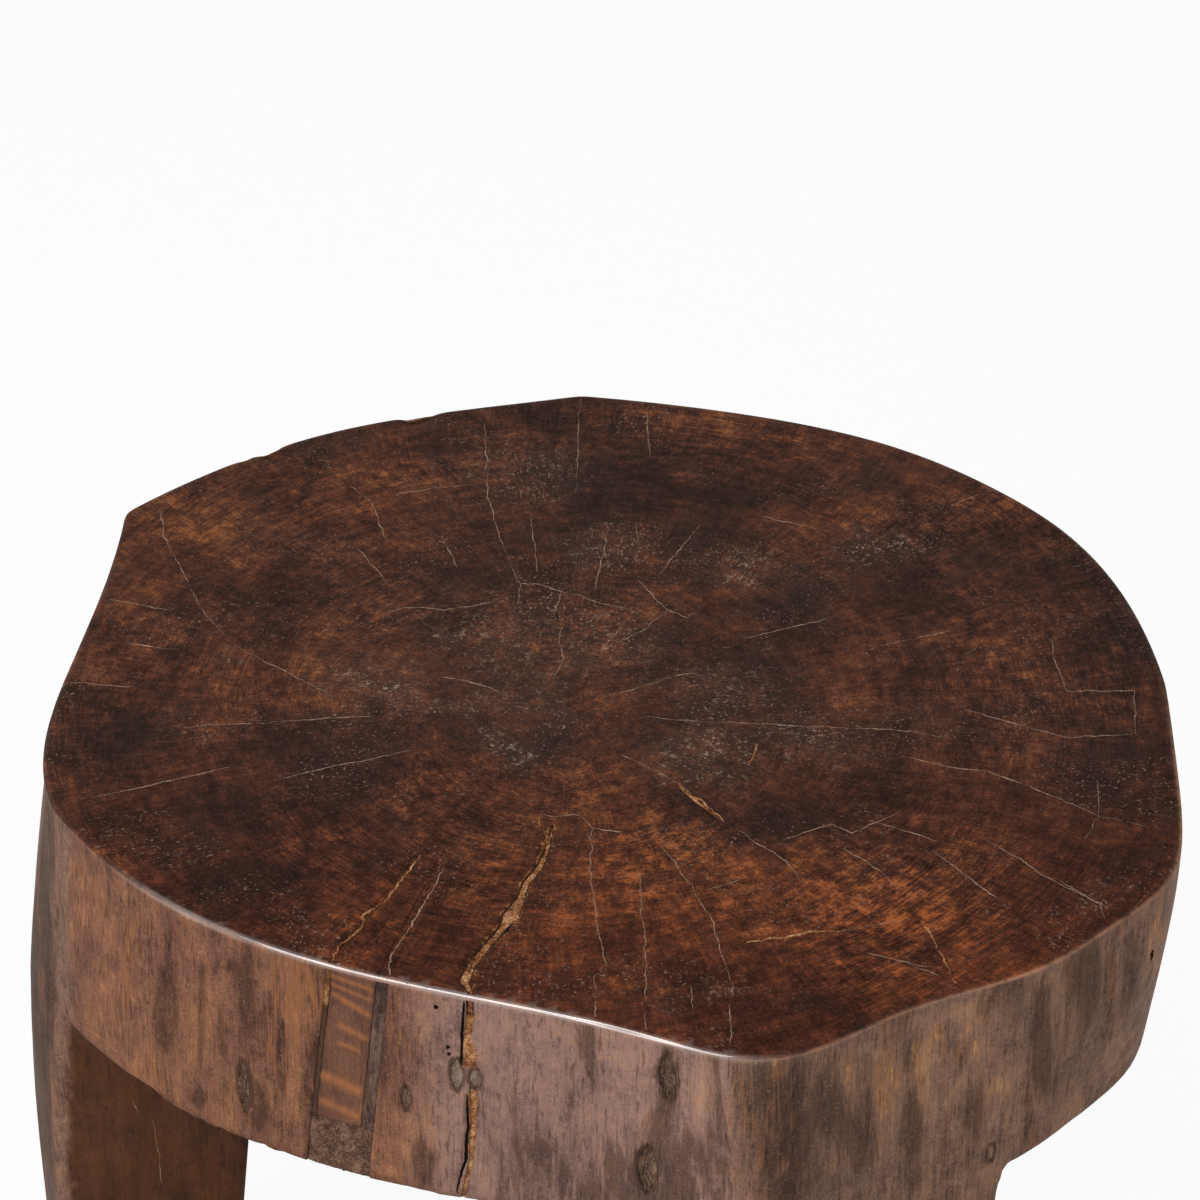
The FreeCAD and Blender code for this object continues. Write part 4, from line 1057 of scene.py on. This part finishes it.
cracks = strands_along(OPEN_CRACKS, open_crack, *CRACK_FORM)
dress(trunk_mesh, log_wood)
trunk_mesh = cut(trunk_mesh, cracks.copy(), "DIFFERENCE")
for name in CRACKED_FILLERS:
    dress(inlay_meshes[name], INLAY_FINISHES[name][0])
    inlay_meshes[name] = cut(inlay_meshes[name], cracks.copy(), "DIFFERENCE")
for pixel, size in HOLES:
    trunk_mesh = bored(trunk_mesh, pixel, size)


def faces_of(*names):
    """A search tree of some inlays' faces."""
    work = bmesh.new()
    for name in names:
        work.from_mesh(inlay_meshes[name])
    tree = BVHTree.FromBMesh(work)
    work.free()
    return tree


def gap_to(tree, points, far=8 * MM):
    """Distance of each point from the nearest face, up to a limit."""
    found = (tree.find_nearest(Vector(point), far)[3] for point in points)
    return np.array([far if gap is None else gap for gap in found])


check_faces = faces_of(*CRACKED_FILLERS)
knot_faces = faces_of("pin_knots", "left_putty", "right_putty")


def mark(mesh):
    """Wear and stains, with painted sheen, shade and highlights, kept at the piece's own points."""
    at, normal = points_of(mesh), points_of(mesh, "normal")
    u, v = photo_pixels(at)
    bars, crumbled = near_lines(u, v, WEDGE_BARS), patches(u, v, CRUMB_PATCHES)
    u_skirt = u + 3 * wander(at, (0.02, 0.02, 0.02), 69)
    u_run = u + 5 * wander(at, (0.012, 0.012, 0.03), 67) + 2 * wander(at, (0.003, 0.003, 0.02), 68)
    u = u + 22 * wander(at, 0.012, 61) + 12 * wander(at, 0.004, 62)
    v = v + 14 * wander(at, 0.012, 63) + 8 * wander(at, 0.004, 64)
    turn = np.degrees(np.arctan2(at[:, 1], at[:, 0])) % 360
    left = turn < LEFT_SIDE_TURN
    gap = rim_gap(at, rim_line)

    # Where a point lies: in the seat, on a side that the photo shows, or on one that it hides.
    seat = smooth_step(normal[:, 2], 0.5, 0.8) * (at[:, 2] > SKIRT_Z)
    seen = smooth_step(normal @ np.array((0.0, -math.cos(TILT), math.sin(TILT))), 0.0, 0.3) * (1 - seat)
    hidden = (1 - seen) * (1 - seat)
    loose = 0.5 + 0.5 * wander(at, (0.03, 0.03, 0.1), 65)
    # The far-left strip, where a grazing sheen is painted.
    strip = smooth_step(u_skirt, *GREY_STRIP) * seen * left
    outer = smooth_step((normal[:, :2] * at[:, :2]).sum(axis=1) / np.hypot(at[:, 0], at[:, 1]), 0.55, 0.85)
    # Legs below the skirt, but for their outer faces, where shade is painted.
    leg = smooth_step(at[:, 2], *LEG_HEIGHTS) * (1 - strip) * (1 - outer * 0.8)
    right = smooth_step(u_skirt, *SKIRT_ARRIS)
    shine = smooth_step(turn, *SHINE_TURNS) * smooth_step(turn, *DULL_TURNS)
    shine = DULL_SHINE + (1 - DULL_SHINE) * shine
    shares = {
        "worn": seat * patches(u, v, WORN_PATCHES) + seen * patches(u_run, v, SKIRT_WORN)
        + hidden * smooth_step(loose, 0.55, 0.85) * 0.6,
        # Stains, and painted shade on the legs.
        "stain": seat * patches(u, v, STAIN_PATCHES) + seen * patches(u_run, v, SKIRT_DARK)
        + hidden * smooth_step(loose, 0.45, 0.15) * 0.7 + leg * 0.25
        + smooth_step(u_skirt, *DARK_STRIP) * seen * left,
        "dust": seat * patches(u, v, DUST_PATCHES),
        # The front of the skirt, where a sheen is painted.
        "mauve": (1 - seat) * smooth_step(turn, *MAUVE_TURNS) * (1 - right) * seen,
        # Grey: a painted grazing sheen on the far-left strip, and a greyer tone on the skirt's right side.
        "grey": (1 - seat) * np.maximum(right * seen, strip),
        "leg": leg,
        "bars": bars,
        "edge": smooth_step(gap, *SHINE_REACH) * shine * (0.75 + 0.25 * wander(at, 0.012, 66)),
        # Along the rim on the right, where a highlight is painted.
        "arris": smooth_step(gap, *ARRIS_REACH) * smooth_step(turn, *ARRIS_TURNS)
        * (0.55 + 0.45 * wander(at, 0.02, 70)),
        "spill": np.maximum(smooth_step(gap_to(check_faces, at), *CRUMB_REACH) * 0.85, seat * crumbled),
        "scar": smooth_step(gap_to(knot_faces, at), *BARK_REACH),
    }
    for key, values in shares.items():
        add_share(mesh, key, values)


def wax_seat_faces(mesh, filler):
    """Gives a joint's filler the log's own finish where it lies in the seat."""
    dress(mesh, filler, log_wood)
    facing, middle = np.empty((2, len(mesh.polygons) * 3), dtype=np.float32)
    mesh.polygons.foreach_get("normal", facing)
    mesh.polygons.foreach_get("center", middle)
    waxed = (facing.reshape(-1, 3)[:, 2] > 0.5) & (middle.reshape(-1, 3)[:, 2] > SEAT_Z - 2 * MM)
    mesh.polygons.foreach_set("material_index", waxed.astype(np.int32))


for name in WAXED_JOINTS:
    wax_seat_faces(inlay_meshes[name], INLAY_FINISHES[name][0])
for mesh in [trunk_mesh] + [inlay_meshes[name] for name in ("repair_wedge",) + WAXED_JOINTS]:
    mark(mesh)

# How far the crumbs of the coarse fillers reach: the main check's have worn away along its sides.
walls = BVHTree.FromPolygons([v.co for v in trunk_mesh.vertices], [p.vertices for p in trunk_mesh.polygons])
main_check, wedge_foot = inlay_meshes["check_top_filler"], inlay_meshes["wedge_foot_filler"]
add_share(main_check, "middle", smooth_step(gap_to(walls, points_of(main_check)), *MIDDLE_REACH))
add_share(wedge_foot, "middle", np.ones(len(wedge_foot.vertices)))

round_rim(trunk_mesh, rim_line)
finish_piece("worn_log", trunk_mesh, [log_wood, open_crack], "log_wood", "carved_trunk")
for name in INLAYS:
    finish, slot = INLAY_FINISHES[name]
    second = [log_wood] if name in WAXED_JOINTS else [open_crack] if name in CRACKED_FILLERS else []
    finish_piece(name + "_worn", inlay_meshes[name], [finish] + second, slot, name)

# Strands half sunk in the wood: name, lines, finish, then width, sink and stray in millimetres, and fade.
LINES = (("pale_hairlines", PALE_CHECKS + SKIRT_CHECKS, check_dust, 0.5, 0.08, 3.6, 0.5),
         ("tan_hairlines", TAN_CHECKS, tan_filler, 1.05, 0.22, 4.4, 0.3),
         ("rubbed_arrises", RUBBED_ARRISES, rubbed_wood, 0.7, 0.2, 2.4, 0.5),
         ("pale_seams", PALE_SEAMS, check_dust, 0.75, 0.14, 3.8, 0.3))
for name, lines, finish, *form in LINES:
    finish_piece(name, strands_along(lines, finish, *form), [finish], "tan_filler")

# Crumbs in the coarse fillers: name, where they lie, finish, slot, number to a square metre, size, seed.
CRUMBS = (("check_top_crumbs", main_check, tan_filler, "tan_filler", 350000.0, 0.9 * MM, 3),
          ("wedge_foot_crumbs", wedge_foot, foot_putty, "grey_putty", 500000.0, 1.0 * MM, 4))
crumbs = grain_tree()
for name, filler, finish, slot, density, size, seed in CRUMBS:
    mesh = crumbs.grow(filler.copy(), Density=density, Size=size, Seed=seed, Finish=finish)
    finish_piece(name, mesh, [finish], slot)
bpy.data.objects.remove(block_shape)


# Floor, light and camera.


def shown_directly(nodes):
    """1 for what the camera sees, also by way of gloss or glass, and 0 for light alone."""
    camera, glossy, through = (nodes.add("ShaderNodeLightPath", out="Is %s Ray" % kind)
                               for kind in ("Camera", "Glossy", "Transmission"))
    return nodes.math("MINIMUM", camera + glossy + through, 1.0)


def studio_floor():
    """A pale floor that looks white to the camera and still takes the stool's shadow."""
    work = bmesh.new()
    bmesh.ops.create_grid(work, x_segments=8, y_segments=8, size=FLOOR_HALF)
    mesh = bpy.data.meshes.new("studio_floor")
    work.to_mesh(mesh)
    work.free()
    f = Finish("pale_floor")
    pale = f.add("ShaderNodeValToRGB", {"stops": FLOOR_TONES}, {0: f.noise(40.0, 3.0)})
    paint = f.add("ShaderNodeBsdfPrincipled", {},
                  {"Base Color": pale, "Roughness": 0.9, "Specular IOR Level": 0.1})
    white = f.add("ShaderNodeEmission", {}, {"Color": WHITE, "Strength": 1.0})
    f.close(f.add("ShaderNodeMixShader", {}, {0: shown_directly(f) * FLOOR_WHITENESS, 1: paint, 2: white}))
    mesh.materials.append(f.material)
    floor = place("studio_floor", mesh)


def studio_world():
    """White to the eye, soft and level as light."""
    world = bpy.data.worlds.new("studio")
    world.use_nodes = True
    nodes = Nodes(world.node_tree)
    nodes.tree.nodes.clear()
    light, white = (nodes.add("ShaderNodeBackground", {}, {"Color": WHITE, "Strength": strength})
                    for strength in (WORLD_LIGHT, 1.0))
    shown = nodes.add("ShaderNodeMixShader", {}, {0: shown_directly(nodes), 1: light, 2: white})
    nodes.add("ShaderNodeOutputWorld", {}, {"Surface": shown}, out=None)
    bpy.context.scene.world = world


def soft_box(name, place_at, look_at, width, height, watts, spin):
    lamp = bpy.data.lights.new(name, "AREA")
    lamp.shape, lamp.size, lamp.size_y, lamp.energy = "RECTANGLE", width, height, watts
    thing = place(name, lamp)
    thing.location = place_at
    aim = (Vector(look_at) - Vector(place_at)).to_track_quat("-Z", "Y")
    thing.rotation_euler = (aim @ Quaternion((0, 0, 1), math.radians(spin))).to_euler()


def photo_camera():
    """The camera, at the place and angle of the photo."""
    eye = bpy.data.cameras.new("photo_camera")
    eye.sensor_width = SENSOR
    eye.lens = FOCAL / PHOTO_SIDE * SENSOR
    camera = place("photo_camera", eye)
    camera.location = CAMERA_AT
    camera.rotation_euler = (math.pi / 2 - TILT, 0, 0)
    bpy.context.scene.camera = camera


studio_floor()
studio_world()
for lamp in LAMPS:
    soft_box(*lamp)
photo_camera()
bpy.context.scene.view_settings.view_transform = "Standard"
